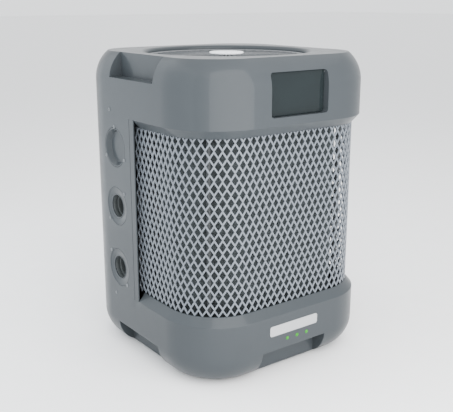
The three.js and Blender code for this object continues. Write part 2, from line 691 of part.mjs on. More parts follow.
function keyPlaces() {
  const { x, upper, lower } = KEY;
  return [[-x, upper], [-x, lower], [x, upper], [x, lower]];
}

function key() {
  const top = CONTROLLER.front + KEY.proud;
  const foot = top - KEY.length;
  const edge = [[KEY.radius, top - 0.6], [KEY.radius - 0.8, top]];
  return revolve([[0, foot], [KEY.radius, foot], ...edge, [0, top]], 12);
}

// A pin through both sides of the display recess, on the flap's hinge line.
function flapPivot(radius, reach) {
  const y = DEPTH / 2 - DISPLAY.flapFace - FLAP.sheet / 2;
  return disc(radius, -reach, reach, 12).rotate([0, 90, 0]).translate([0, -y, FLAP.pivotZ]);
}

function displayFlap() {
  const { half, low, high, sheet, corner } = FLAP;
  const face = DEPTH / 2 - DISPLAY.flapFace;
  const slab = prism(roundRect(2 * half, high - low, corner), face - sheet, face);
  const pins = flapPivot(FLAP.pin, DISPLAY.half + WALL / 2);
  return alongY(slab, 0, (low + high) / 2).add(pins);
}

function statusLamp() {
  const face = DEPTH / 2;
  const back = face - WALL - GAP;
  return revolve([[0, back - 4], [LAMP.flange, back - 4], [LAMP.flange, back], [LAMP.radius, back],
    [LAMP.radius, face - 0.8], [LAMP.radius - 1.5, face], [0, face]], 10);
}

function nameplate() {
  const back = DEPTH / 2 - PLATE.depth + GAP;
  return prism(roundRect(PLATE.width, PLATE.height, PLATE.corner), back, back + PLATE.sheet);
}

// ---- Assembly ------------------------------------------------------------------

const unit = new THREE.Group();

function section() {
  const group = new THREE.Group();
  unit.add(group);
  return group;
}

function place(group, name, body, finish, position = [0, 0, 0]) {
  const [color, roughness, metalness] = COLORS[finish];
  const material = new THREE.MeshStandardMaterial({ color, roughness, metalness });
  const mesh = new THREE.Mesh(toGeometry(body), material);
  mesh.name = name;
  mesh.position.set(...position);
  group.add(mesh);
}

const CORNERS = ['front_left', 'front_right', 'rear_right', 'rear_left'];

const casing = section();
place(casing, 'base_pan', basePan(), 'steel');
place(casing, 'base_casing', baseCasing(), 'casing');
place(casing, 'service_panel', servicePanel(), 'casing');
place(casing, 'top_cover', topCover(), 'casing');
place(casing, 'mesh_screen', meshScreen(), 'mesh');
cornerPoints(POST.inset).forEach(([x, y], i) => {
  const low = PAN.floor + PAN.thickness + GAP;
  place(casing, `corner_post_${CORNERS[i]}`, disc(POST.radius, low, POST.top, 8), 'steel', [x, y, 0]);
});
[[-1, -1], [1, -1], [1, 1], [-1, 1]].forEach(([sx, sy], i) => {
  place(casing, `foot_${CORNERS[i]}`, foot(), 'rubber', [sx * FOOT.x, sy * FOOT.y, 0]);
});
const spout = annulus(DRAIN.bore, DRAIN.radius, DRAIN.low, PAN.floor - GAP, 12);
place(casing, 'drain_spout', spout, 'black', [0, DRAIN.y, 0]);

const fan = section();
place(fan, 'fan_guard', fanGuard(), 'mesh');
place(fan, 'guard_cap', disc(GUARD.capRadius, GUARD.hubTop + GAP, GUARD.hubTop + RIBS.cap, 24), 'silver');
place(fan, 'fan_shroud', fanShroud(), 'dark');
place(fan, 'fan_impeller', fanImpeller(), 'black');
const shaft = disc(MOTOR.shaft, MOTOR.top - MOTOR.neck + 0.5, MOTOR.shaftTop, 12);
place(fan, 'motor_shaft', shaft, 'steel');
const nut = annulus(NUT.bore, NUT.radius, IMPELLER.high + GAP, IMPELLER.high + NUT.height, 6);
place(fan, 'fan_nut', nut, 'steel');
place(fan, 'fan_motor', fanMotor(), 'dark');
place(fan, 'motor_bracket', motorBracket(), 'steel');

const circuit = section();
const compressorPlace = [COMPRESSOR.x, COMPRESSOR.y, 0];
place(circuit, 'evaporator_coil', evaporatorCoil(), 'fin');
place(circuit, 'coil_plate_left', coilPlate(false), 'steel');
place(circuit, 'coil_plate_rear', coilPlate(true), 'steel');
place(circuit, 'compressor', compressor(), 'black', compressorPlace);
place(circuit, 'terminal_cover', terminalCover(), 'dark', compressorPlace);
place(circuit, 'accumulator', accumulator(), 'black', [ACCUMULATOR.x, ACCUMULATOR.y, 0]);
place(circuit, 'four_way_valve', fourWayValve(), 'brass', [VALVE.x, VALVE.y, VALVE.z]);
place(circuit, 'filter_drier', filterDrier(), 'copper', [DRIER.x, DRIER.y, 0]);
place(circuit, 'expansion_valve', expansionValve(), 'brass');
place(circuit, 'discharge_pipe', dischargePipe(), 'copper');
place(circuit, 'suction_pipe', suctionPipe(), 'copper');
place(circuit, 'evaporator_pipe', evaporatorPipe(), 'copper');
place(circuit, 'exchanger_pipe', exchangerPipe(), 'copper');
place(circuit, 'liquid_pipe', liquidPipe(), 'copper');

const water = section();
const exchangerPlace = [EXCHANGER.x, EXCHANGER.y, 0];
place(water, 'exchanger_shell', exchangerShell(), 'dark', exchangerPlace);
place(water, 'titanium_coil', titaniumCoil(), 'titanium', exchangerPlace);
place(water, 'water_inlet_socket', waterSocket(PORT.inlet), 'black');
place(water, 'water_outlet_socket', waterSocket(PORT.outlet), 'black');
place(water, 'inlet_ring', trimFlange(alongX(portRing(), PORT.y, PORT.inlet)), 'casing');
place(water, 'outlet_ring', trimFlange(alongX(portRing(), PORT.y, PORT.outlet)), 'casing');
place(water, 'blank_cap', trimFlange(alongX(blankCap(), PORT.y, PORT.upper)), 'casing');
place(water, 'flow_switch', flowSwitch(), 'black', [SWITCH.x, PORT.y, 0]);

const controls = section();
place(controls, 'electrical_box', electricalBox(), 'steel');
const cover = box(BOX.x1, BOX.x2, BOX.y2 + GAP, BOX.y2 + GAP + BOX.sheet, BOX.z1, BOX.z2);
place(controls, 'electrical_cover', cover, 'steel');
place(controls, 'control_board', controlBoard(), 'board');
place(controls, 'terminal_block', terminalBlock(), 'black');
place(controls, 'cable_gland', cableGland().rotate([-90, 0, 0]).translate([GLAND.x, 0, GLAND.z]), 'black');
place(controls, 'controller_body', controllerBody(), 'dark');
place(controls, 'lcd_window', lcdWindow(), 'black');
place(controls, 'display_flap', displayFlap(), 'panel');
['power_key', 'mode_key', 'up_key', 'down_key'].forEach((name, i) => {
  const [x, z] = keyPlaces()[i];
  place(controls, name, alongY(key(), x, z), 'silver');
});
['left', 'middle', 'right'].forEach((name, i) => {
  place(controls, `status_lamp_${name}`, alongY(statusLamp(), LAMP.x[i], LAMP.z), 'green');
});
place(controls, 'nameplate', alongY(nameplate(), PLATE.x, PLATE.z), 'silver');

export default unit;
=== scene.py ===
"""Looks of the pool heat pump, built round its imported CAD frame. Metres, +Z up, controls on -Y."""

import json
import math

import bmesh
import bpy
from mathutils import Matrix, Vector


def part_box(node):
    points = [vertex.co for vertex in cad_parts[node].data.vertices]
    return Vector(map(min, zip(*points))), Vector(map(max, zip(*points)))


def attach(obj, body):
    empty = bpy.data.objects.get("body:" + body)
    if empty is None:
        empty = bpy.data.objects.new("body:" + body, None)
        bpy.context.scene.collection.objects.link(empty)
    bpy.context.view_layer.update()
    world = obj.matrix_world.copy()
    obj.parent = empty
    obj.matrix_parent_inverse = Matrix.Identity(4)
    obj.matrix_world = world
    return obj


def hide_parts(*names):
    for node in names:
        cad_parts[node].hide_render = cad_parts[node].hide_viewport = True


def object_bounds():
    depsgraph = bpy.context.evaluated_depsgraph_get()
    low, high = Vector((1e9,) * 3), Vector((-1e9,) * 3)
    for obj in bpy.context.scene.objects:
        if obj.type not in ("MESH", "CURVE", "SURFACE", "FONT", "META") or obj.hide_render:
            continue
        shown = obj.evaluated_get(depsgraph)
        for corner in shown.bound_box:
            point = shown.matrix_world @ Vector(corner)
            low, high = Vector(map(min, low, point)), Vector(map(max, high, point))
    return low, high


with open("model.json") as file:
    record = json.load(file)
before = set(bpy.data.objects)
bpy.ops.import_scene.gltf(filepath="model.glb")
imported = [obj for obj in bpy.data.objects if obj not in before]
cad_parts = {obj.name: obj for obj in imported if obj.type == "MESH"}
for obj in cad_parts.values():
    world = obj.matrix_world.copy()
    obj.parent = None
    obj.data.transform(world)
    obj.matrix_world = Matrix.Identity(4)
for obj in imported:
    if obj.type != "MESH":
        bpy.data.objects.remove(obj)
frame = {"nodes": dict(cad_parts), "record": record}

CAD_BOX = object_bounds()
ROOT = "casing"
NODES = frame["nodes"]

# ---- Sizes that the visual model shares with the frame, in metres ----

HALF_X, HALF_Y, TOP = CAD_BOX[1]
CORNER = 0.148
SKIN = 0.004
WALL = 0.003
TOP_ROUND = 0.090
TOP_ROUND_START = 0.691
BOTTOM_ROUND = 0.078
BOTTOM_ROUND_START = 0.0777
LIP_INSET = 0.0175
LIP_SLOPE = 0.020
BAND_LOWER = 0.158
BAND_UPPER = 0.611
PANEL_EDGE = -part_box("service_panel")[1].x
PANEL_CREASE = 0.0096
HANDLE_HALF = 0.099
HANDLE_FLOOR = 0.702
HANDLE_DEPTH = 0.034
FOOTHOLD_HALF_X = 0.0995
FOOTHOLD_HALF_Y = 0.095
FOOTHOLD_TOP = 0.070
FOOTHOLD_DEPTH = 0.043
DISPLAY_HALF = 0.0847
DISPLAY_LOW = 0.630
DISPLAY_HIGH = 0.7286
DISPLAY_DEPTH = 0.034
DISPLAY_CORNER = 0.008
OPENING_RADIUS = 0.204
OPENING_ROUND = 0.009
LEDGE_RADIUS = 0.190
LEDGE_Z = 0.742
CORNER_STEPS = 24


# ---- Mesh helpers ----

def finish_mesh(name, bm, material, smooth=True):
    """Turns a bmesh into a shown object, with its faces pointing out."""
    bmesh.ops.recalc_face_normals(bm, faces=bm.faces)
    mesh = bpy.data.meshes.new(name)
    bm.to_mesh(mesh)
    bm.free()
    if smooth:
        mesh.shade_smooth()
    mesh.materials.append(material)
    piece = bpy.data.objects.new(name, mesh)
    bpy.context.scene.collection.objects.link(piece)
    return piece


def modify(piece, kind, **settings):
    modifier = piece.modifiers.new(kind.title(), kind)
    for key, value in settings.items():
        setattr(modifier, key, value)
    return modifier


def apply_modifiers(piece):
    bpy.context.view_layer.update()
    depsgraph = bpy.context.evaluated_depsgraph_get()
    mesh = bpy.data.meshes.new_from_object(piece.evaluated_get(depsgraph))
    piece.modifiers.clear()
    old = piece.data
    piece.data = mesh
    bpy.data.meshes.remove(old)
    return piece


def even_normals(piece):
    """Lets broad faces set the normals, so that they shade flat beside small ones."""
    modify(piece, "WEIGHTED_NORMAL", keep_sharp=False)
    return apply_modifiers(piece)


def give_wall(piece):
    """Thickens an open skin of the casing on its inner side."""
    modify(piece, "SOLIDIFY", thickness=WALL, offset=-1, use_even_offset=True)
    return apply_modifiers(piece)


def soften(piece, width, segments=2, angle=28, crisp=None):
    """Rounds the piece's edges, leaves those that crisp() picks sharp, and evens out its normals."""
    bm = bmesh.new()
    bm.from_mesh(piece.data)
    limit = math.radians(angle)
    edges = [e for e in bm.edges if len(e.link_faces) == 2 and e.calc_face_angle(0) > limit]
    kept = [e for e in edges if crisp and crisp((e.verts[0].co + e.verts[1].co) / 2)]
    rounded = list(set(edges) - set(kept))
    rounded.sort(key=lambda e: e.index)
    bmesh.ops.bevel(bm, geom=rounded, offset=width, segments=segments, profile=0.5, affect="EDGES",
                    clamp_overlap=True)
    bm.to_mesh(piece.data)
    bm.free()
    piece.data.shade_smooth()
    for edge in piece.data.edges:
        edge.use_edge_sharp = False
    mark_crisp(piece, limit, crisp)
    modify(piece, "WEIGHTED_NORMAL", keep_sharp=True, weight=80)
    apply_modifiers(piece)


def mark_crisp(piece, limit, crisp):
    """Marks the sharp edges that crisp() picks, so that shading doesn't run over them."""
    if not crisp:
        return
    bm = bmesh.new()
    bm.from_mesh(piece.data)
    for edge in bm.edges:
        turned = len(edge.link_faces) == 2 and edge.calc_face_angle(0) > limit
        edge.smooth = not (turned and crisp((edge.verts[0].co + edge.verts[1].co) / 2))
    bm.to_mesh(piece.data)
    bm.free()


def settle(piece, body=ROOT, nodes=()):
    """Says what a piece moves with and which CAD nodes it stands for, and hides those nodes."""
    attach(piece, body)
    if nodes:
        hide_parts(*nodes)
    return piece


def stops(half, marks, step=0.022):
    """Places along a straight side: the marks and their mirror images, with even steps between."""
    fixed = sorted({round(s * m, 6) for m in (*marks, half) for s in (-1, 1)})
    places = [fixed[0]]
    for a, b in zip(fixed, fixed[1:]):
        count = max(1, round((b - a) / step))
        places += [a + (b - a) * k / count for k in range(1, count + 1)]
    return places


def plan_loop(inset, side_y, side_x, steps=CORNER_STEPS):
    """The casing's plan at an inset, anticlockwise, with the same number of points at any inset."""
    radius = CORNER - inset
    x, y = HALF_X - inset, HALF_Y - inset
    cx, cy = HALF_X - CORNER, HALF_Y - CORNER
    points = []

    def turn(centre_x, centre_y, start):
        for k in range(1, steps):
            angle = math.radians(start + 90 * k / steps)
            points.append((centre_x + radius * math.cos(angle), centre_y + radius * math.sin(angle)))

    points += [(x, v) for v in side_y]
    turn(cx, cy, 0)
    points += [(v, y) for v in reversed(side_x)]
    turn(-cx, cy, 90)
    points += [(-x, v) for v in reversed(side_y)]
    turn(-cx, -cy, 180)
    points += [(v, -y) for v in side_x]
    turn(cx, -cy, 270)
    return points


def skin_rings(bm, rings, closed=True):
    """Joins rings of equal length with quads."""
    made = [[bm.verts.new(p) for p in ring] for ring in rings]
    count = len(made[0])
    last = count if closed else count - 1
    for lower, upper in zip(made, made[1:]):
        for k in range(last):
            n = (k + 1) % count
            bm.faces.new((lower[k], lower[n], upper[n], upper[k]))
    return made


def capped(bm, rings):
    """Joins rings with quads and closes the first and the last."""
    made = skin_rings(bm, rings)
    bm.faces.new(list(reversed(made[0])))
    bm.faces.new(made[-1])


def arc_profile(radius, start_z, angles, direction):
    """Inset and height along a casing edge that curves in, up or down from start_z."""
    return [(radius * (1 - math.cos(a)), start_z + direction * radius * math.sin(a)) for a in angles]


def spread(a, b, count):
    return [a + (b - a) * k / count for k in range(count + 1)]


def quarter_turn(count):
    """Angles from none to a right angle, in even steps."""
    return spread(0, math.pi / 2, count)


def between(value, low, high):
    return low < value < high


def once_each(items):
    """The items in their order, without repeats, so that every run builds the same mesh."""
    return list(dict.fromkeys(items))


def sink(bm, doomed, axis, plane):
    """Takes faces away, walls the hole back to a plane across an axis, and closes its back."""
    lost = set(doomed)
    rim = once_each(e for f in doomed for e in f.edges if any(g not in lost for g in e.link_faces))
    near = 1e-5
    bmesh.ops.delete(bm, geom=doomed, context="FACES")
    off = [e for e in rim if any(abs(v.co[axis] - plane) > near for v in e.verts)]
    result = bmesh.ops.extrude_edge_only(bm, edges=off)
    fresh = [g for g in result["geom"] if isinstance(g, bmesh.types.BMVert)]
    for vert in fresh:
        vert.co[axis] = plane
    around = fresh + [v for e in rim if e.is_valid for v in e.verts]
    bmesh.ops.remove_doubles(bm, verts=once_each(around), dist=near)
    back = once_each(e for v in bm.verts if abs(v.co[axis] - plane) <= near for e in v.link_edges
                     if e.is_boundary and all(abs(w.co[axis] - plane) <= near for w in e.verts))
    bmesh.ops.edgeloop_fill(bm, edges=back)


def faces_where(bm, test):
    return [f for f in bm.faces if test(f.calc_center_median())]


def revolved(profile, segments=64):
    """A closed body of revolution about Z from [radius, height] points, open or closed at the axis."""
    bm = bmesh.new()
    rings = []
    for radius, z in profile:
        if radius < 1e-7:
            rings.append([bm.verts.new((0, 0, z))])
            continue
        turn = [2 * math.pi * k / segments for k in range(segments)]
        rings.append([bm.verts.new((radius * math.cos(a), radius * math.sin(a), z)) for a in turn])
    on_axis = len(rings[0]) == 1 and len(rings[-1]) == 1
    pairs = list(zip(rings, rings[1:]))
    if not on_axis:
        pairs.append((rings[-1], rings[0]))
    for lower, upper in pairs:
        for k in range(segments):
            n = (k + 1) % segments
            corners = [ring[i % len(ring)] for ring, i in ((lower, k), (lower, n), (upper, n), (upper, k))]
            kept = [v for i, v in enumerate(corners) if v not in corners[:i]]
            if len(kept) > 2:
                bm.faces.new(kept)
    return bm


def turned(name, profile, material, segments, place=None):
    """A shown piece of revolution, turned and moved to its place."""
    bm = revolved(profile, segments)
    if place:
        bm.transform(place)
    return finish_mesh(name, bm, material)


ALONG_X = Matrix.Rotation(math.radians(-90), 4, "Y")
ALONG_Y = Matrix.Rotation(math.radians(90), 4, "X")


def facing_front(node):
    """Turns a piece that stands up Z to face -Y, on the middle of a CAD node."""
    low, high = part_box(node)
    return Matrix.Translation(((low.x + high.x) / 2, 0, (low.z + high.z) / 2)) @ ALONG_Y


def rounded_outline(width, height, radius, steps=6):
    """Corners of a rounded rectangle, anticlockwise."""
    points = []
    for quarter, (sx, sy) in enumerate([(1, 1), (-1, 1), (-1, -1), (1, -1)]):
        for k in range(steps + 1):
            angle = math.radians(90 * quarter + 90 * k / steps)
            points.append((sx * (width / 2 - radius) + radius * math.cos(angle),
                           sy * (height / 2 - radius) + radius * math.sin(angle)))
    return points


def slab(outline, low, high):
    """A flat piece with a given outline between two heights."""
    bm = bmesh.new()
    capped(bm, [[(x, y, z) for x, y in outline] for z in (low, high)])
    return bm


def box_mesh(bm, low, high):
    """Adds an axis-aligned box to a bmesh."""
    plan = ((low[0], low[1]), (high[0], low[1]), (high[0], high[1]), (low[0], high[1]))
    capped(bm, [[(x, y, z) for x, y in plan] for z in (low[2], high[2])])


def tube_mesh(bm, points, radius, sides=8, closed=False):
    """Adds a round tube along points to a bmesh."""
    count = len(points)
    path = [Vector(p) for p in points]
    rings = []
    side = None
    for k, point in enumerate(path):
        before = path[k - 1] if closed or k else path[k]
        after = path[(k + 1) % count] if closed or k < count - 1 else path[k]
        along = (after - before).normalized()
        if side is None:
            side = along.orthogonal().normalized()
        side = (side - along * side.dot(along)).normalized()
        up = along.cross(side)
        turn = [2 * math.pi * s / sides for s in range(sides)]
        rings.append([point + radius * (side * math.cos(a) + up * math.sin(a)) for a in turn])
    if not closed:
        capped(bm, rings)
        return
    made = skin_rings(bm, rings)
    for s in range(sides):
        n = (s + 1) % sides
        bm.faces.new((made[-1][s], made[-1][n], made[0][n], made[0][s]))


# ---- Materials ----

def new_material(name):
    material = bpy.data.materials.new(name)
    material.use_nodes = True
    tree = material.node_tree
    return material, tree, tree.nodes["Principled BSDF"]


def noise(tree, scale, detail=3.0, roughness=0.5, stretch=None):
    texture = tree.nodes.new("ShaderNodeTexNoise")
    texture.inputs["Scale"].default_value = scale
    texture.inputs["Detail"].default_value = detail
    texture.inputs["Roughness"].default_value = roughness
    place = tree.nodes.new("ShaderNodeTexCoord")
    mapping = tree.nodes.new("ShaderNodeMapping")
    mapping.inputs["Scale"].default_value = stretch or (1, 1, 1)
    tree.links.new(place.outputs["Object"], mapping.inputs["Vector"])
    tree.links.new(mapping.outputs["Vector"], texture.inputs["Vector"])
    return texture


def ramp(tree, source, low, high, first, second):
    """Maps a texture's value onto two greys or colours."""
    node = tree.nodes.new("ShaderNodeValToRGB")
    node.color_ramp.elements[0].position = low
    node.color_ramp.elements[1].position = high
    node.color_ramp.elements[0].color = first
    node.color_ramp.elements[1].color = second
    tree.links.new(source, node.inputs["Fac"])
    return node


def grey(value):
    return (value, value, value, 1)


def shade(color, factor):
    return tuple(min(1, c * factor) for c in color[:3]) + (1,)


def edge_mask(tree, radius):
    """White where the surface turns over an edge."""
    bevel = tree.nodes.new("ShaderNodeBevel")
    bevel.samples = 4
    bevel.inputs["Radius"].default_value = radius
    geometry = tree.nodes.new("ShaderNodeNewGeometry")
    dot = tree.nodes.new("ShaderNodeVectorMath")
    dot.operation = "DOT_PRODUCT"
    tree.links.new(bevel.outputs["Normal"], dot.inputs[0])
    tree.links.new(geometry.outputs["Normal"], dot.inputs[1])
    return ramp(tree, dot.outputs["Value"], 0.90, 0.995, grey(1), grey(0))


def surface(name, color, rough, spread_rough=0.05, variation=0.05, grain=900, bump=0.05,
            metallic=0.0, wear=None, stretch=None, specular=0.5, coat=0.0):
    """A moulded, painted or metal finish: mottled colour, uneven gloss, fine grain and worn edges."""
    material, tree, shader = new_material(name)
    cloud = noise(tree, 14, 4, 0.55, stretch)
    darker, lighter = shade(color, 1 - variation), shade(color, 1 + variation)
    tint = ramp(tree, cloud.outputs["Fac"], 0.3, 0.7, darker, lighter)
    base = tint.outputs["Color"]
    if wear:
        mix = tree.nodes.new("ShaderNodeMix")
        mix.data_type = "RGBA"
        mask = edge_mask(tree, 0.0012)
        scuff = noise(tree, 60, 5, 0.7)
        patch = ramp(tree, scuff.outputs["Fac"], 0.45, 0.75, grey(0), grey(wear))
        share = tree.nodes.new("ShaderNodeMath")
        share.operation = "MULTIPLY"
        tree.links.new(mask.outputs["Color"], share.inputs[0])
        tree.links.new(patch.outputs["Color"], share.inputs[1])
        tree.links.new(share.outputs["Value"], mix.inputs["Factor"])
        tree.links.new(base, mix.inputs["A"])
        mix.inputs["B"].default_value = shade(color, 1.7)
        base = mix.outputs["Result"]
    tree.links.new(base, shader.inputs["Base Color"])
    gloss = noise(tree, 35, 5, 0.6, stretch)
    low, high = grey(max(0, rough - spread_rough)), grey(rough + spread_rough)
    uneven = ramp(tree, gloss.outputs["Fac"], 0.3, 0.7, low, high)
    tree.links.new(uneven.outputs["Color"], shader.inputs["Roughness"])
    fine = noise(tree, grain, 2, 0.5, stretch)
    relief = tree.nodes.new("ShaderNodeBump")
    relief.inputs["Strength"].default_value = bump
    relief.inputs["Distance"].default_value = 0.0004
    tree.links.new(fine.outputs["Fac"], relief.inputs["Height"])
    tree.links.new(relief.outputs["Normal"], shader.inputs["Normal"])
    shader.inputs["Metallic"].default_value = metallic
    shader.inputs["Specular IOR Level"].default_value = specular
    shader.inputs["Coat Weight"].default_value = coat
    shader.inputs["Coat Roughness"].default_value = 0.05
    return material


def see_through(material, share):
    """Lets a share of what lies behind show through."""
    tree = material.node_tree
    shader = tree.nodes["Principled BSDF"]
    output = tree.nodes["Material Output"]
    clear = tree.nodes.new("ShaderNodeBsdfTransparent")
    mix = tree.nodes.new("ShaderNodeMixShader")
    mix.inputs["Fac"].default_value = share
    tree.links.new(shader.outputs["BSDF"], mix.inputs[1])
    tree.links.new(clear.outputs["BSDF"], mix.inputs[2])
    tree.links.new(mix.outputs["Shader"], output.inputs["Surface"])
    return material


def glowing(material, color, strength):
    shader = material.node_tree.nodes["Principled BSDF"]
    shader.inputs["Emission Color"].default_value = color
    shader.inputs["Emission Strength"].default_value = strength
    return material


CASING = surface("casing_gloss", (0.0335, 0.0385, 0.0425), 0.34, 0.04, 0.02, 1400, 0.02, wear=0.25,
                 specular=0.1, coat=0.13)
SCREEN = surface("screen_satin", (0.105, 0.118, 0.136), 0.38, 0.05, 0.03, 1200, 0.05, specular=0.3)
GUARD = surface("guard_satin", (0.040, 0.045, 0.050), 0.35, 0.05, 0.04, 1200, 0.05, specular=0.6)
CAP = surface("cap_satin", (0.80, 0.82, 0.84), 0.30, 0.05, 0.02, 1200, 0.04)
SMOKED = surface("smoked_gloss", (0.010, 0.0135, 0.0145), 0.12, 0.03, 0.05, 1500, 0.02, specular=0.16)
GREEN = surface("green_gloss", (0.010, 0.16, 0.002), 0.30, 0.04, 0.06, 1500, 0.02, specular=0.2)
MATERIALS = {
    "casing_plastic": CASING,
    "screen_plastic": SCREEN,
    "smoked_plastic": see_through(SMOKED, 0.05),
    "green_lens": glowing(GREEN, (0.02, 0.60, 0.0, 1), 0.22),
    "badge_metal": surface("brushed_badge", (0.46, 0.47, 0.48), 0.34, 0.08, 0.04, 700, 0.15, metallic=0.85,
                           stretch=(0.04, 1, 1)),
    "key_plastic": surface("key_gloss", (0.60, 0.62, 0.63), 0.30, 0.04, 0.04, 1300, 0.04),
    "lcd_glass": surface("lcd_gloss", (0.10, 0.14, 0.12), 0.12, 0.03, 0.06, 1500, 0.02, coat=0.5),
    "foot_rubber": surface("foot_matt", (0.018, 0.018, 0.019), 0.85, 0.06, 0.15, 500, 0.3),
    "sheet_steel": surface("coated_steel", (0.034, 0.038, 0.040), 0.50, 0.08, 0.12, 90, 0.05, specular=0.3),
    "dark_plastic": surface("dark_grained", (0.030, 0.033, 0.035), 0.55, 0.06, 0.12, 800, 0.2),
    "fan_plastic": surface("fan_grained", (0.022, 0.022, 0.024), 0.50, 0.06, 0.12, 700, 0.2),
    "motor_paint": surface("motor_enamel", (0.050, 0.054, 0.058), 0.42, 0.06, 0.10, 400, 0.15, coat=0.2),
    "copper_tube": surface("drawn_copper", (0.72, 0.34, 0.18), 0.28, 0.10, 0.22, 120, 0.08, metallic=1.0),
    "fin_aluminium": surface("coated_fin", (0.058, 0.067, 0.070), 0.55, 0.08, 0.08, 300, 0.1, specular=0.1),
    "compressor_paint": surface("black_enamel", (0.012, 0.012, 0.013), 0.35, 0.08, 0.15, 300, 0.15,
                                coat=0.3),
    "titanium_tube": surface("drawn_titanium", (0.44, 0.42, 0.40), 0.32, 0.08, 0.15, 150, 0.08,
                             metallic=0.9),
    "circuit_board": surface("solder_mask", (0.020, 0.130, 0.055), 0.35, 0.06, 0.12, 250, 0.1, coat=0.3),
    "pvc": surface("pvc_grey", (0.042, 0.047, 0.048), 0.45, 0.05, 0.08, 700, 0.1, specular=0.2),
    "bright_steel": surface("zinc_plate", (0.105, 0.115, 0.122), 0.40, 0.08, 0.08, 400, 0.08, metallic=0.3),
}


def dress_frame():
    """Gives every CAD node that stays shown the procedural finish of its slot."""
    for part in frame["record"]["subparts"]:
        node = NODES[part["node"]]
        node.data.materials.clear()
        node.data.materials.append(MATERIALS[part["material_slot"]])
        modify(node, "EDGE_SPLIT", split_angle=math.radians(35))
        for polygon in node.data.polygons:
            polygon.use_smooth = True


# ---- Casing ----

SIDE_Y_HALF = HALF_Y - CORNER
SIDE_X_HALF = HALF_X - CORNER
SHELL_EDGE = 0.0012
CURL_INSET = 0.0525
FOOT_INSET = 0.070


def in_panel_corner(point):
    return point.x < -PANEL_EDGE and point.y > PANEL_EDGE


def at_seam(point):
    """True where a band meets the flush service panel."""
    on_level = min(abs(point.z - BAND_UPPER), abs(point.z - BAND_LOWER)) < 0.0006
    deep = 0.0008
    return on_level and point.x < -PANEL_EDGE + deep and point.y > PANEL_EDGE - deep


def in_handle(point):
    deep = HALF_X - HANDLE_DEPTH
    return abs(point.y) < HANDLE_HALF and abs(point.x) > deep and point.z > HANDLE_FLOOR


def display_faces(bm):
    """The faces inside the display's rounded outline, after its corner faces have been cut along an arc."""
    low, high = DISPLAY_LOW, DISPLAY_HIGH
    edge = DISPLAY_CORNER
    inside = []
    for sx in (-1, 1):
        for z_corner, sz in ((low, 1), (high, -1)):
            centre = Vector((sx * (DISPLAY_HALF - edge), 0, z_corner + sz * edge))
            cell = next(f for f in bm.faces if in_cell(f.calc_center_median(), sx, z_corner, sz))
            corner = max(cell.verts, key=lambda v: abs(v.co.x) - sz * v.co.z)
            ends = sorted((v for v in cell.verts if v is not corner and shares_line(v, corner)),
                          key=lambda v: abs(v.co.x))
            arc = []
            for k in range(1, 5):
                angle = math.radians(90 * k / 5)
                x = centre.x + sx * edge * math.sin(angle)
                z = centre.z - sz * edge * math.cos(angle)
                arc.append(Vector((x, -surface_y(z), z)))
            fresh, _ = bmesh.utils.face_split(cell, ends[0], ends[1], coords=arc)
            inside.append(fresh if corner not in fresh.verts else cell)
    corners = set(inside)
    middle = [f for f in bm.faces if f not in corners and in_display(f.calc_center_median())]
    return middle + inside


def in_cell(point, sx, z_corner, sz):
    x_low = DISPLAY_HALF - DISPLAY_CORNER
    on_side = between(sx * point.x, x_low, DISPLAY_HALF)
    return point.y < 0 and on_side and between(sz * (point.z - z_corner), 0, DISPLAY_CORNER)


def shares_line(vert, corner):
    return abs(vert.co.x - corner.co.x) < 1e-6 or abs(vert.co.z - corner.co.z) < 1e-6


def in_display(point):
    if point.y > 0 or not between(point.z, DISPLAY_LOW, DISPLAY_HIGH):
        return False
    edge_x = DISPLAY_HALF - DISPLAY_CORNER
    in_corner_row = point.z < DISPLAY_LOW + DISPLAY_CORNER or point.z > DISPLAY_HIGH - DISPLAY_CORNER
    return abs(point.x) < (edge_x if in_corner_row else DISPLAY_HALF)


def surface_y(z):
    """Distance of the front face from the middle plane at a height."""
    rise = max(0.0, z - TOP_ROUND_START)
    return HALF_Y - TOP_ROUND + math.sqrt(TOP_ROUND ** 2 - rise ** 2)


def arc_angle(z):
    return math.asin((z - TOP_ROUND_START) / TOP_ROUND)


def top_profile():
    """Inset and height up the outside of the top cover, from the lip over the rounded edge."""
    marks = [HANDLE_FLOOR, DISPLAY_HIGH - DISPLAY_CORNER, DISPLAY_HIGH, TOP]
    angles = [0.0]
    for mark in marks:
        end = arc_angle(mark)
        count = max(1, round((end - angles[-1]) / math.radians(4.5)))
        angles += spread(angles[-1], end, count)[1:]
    straight = [BAND_UPPER, DISPLAY_LOW, DISPLAY_LOW + DISPLAY_CORNER, 0.665]
    lip = [(LIP_INSET + SKIN, BAND_UPPER - LIP_SLOPE), (LIP_INSET, BAND_UPPER - LIP_SLOPE)]
    return lip + [(0, z) for z in straight] + arc_profile(TOP_ROUND, TOP_ROUND_START, angles, 1)


def round_loop(loop, radius, z):
    """A circle with a point in the direction of each point of a loop."""
    return [(radius * x / math.hypot(x, y), radius * y / math.hypot(x, y), z) for x, y in loop]


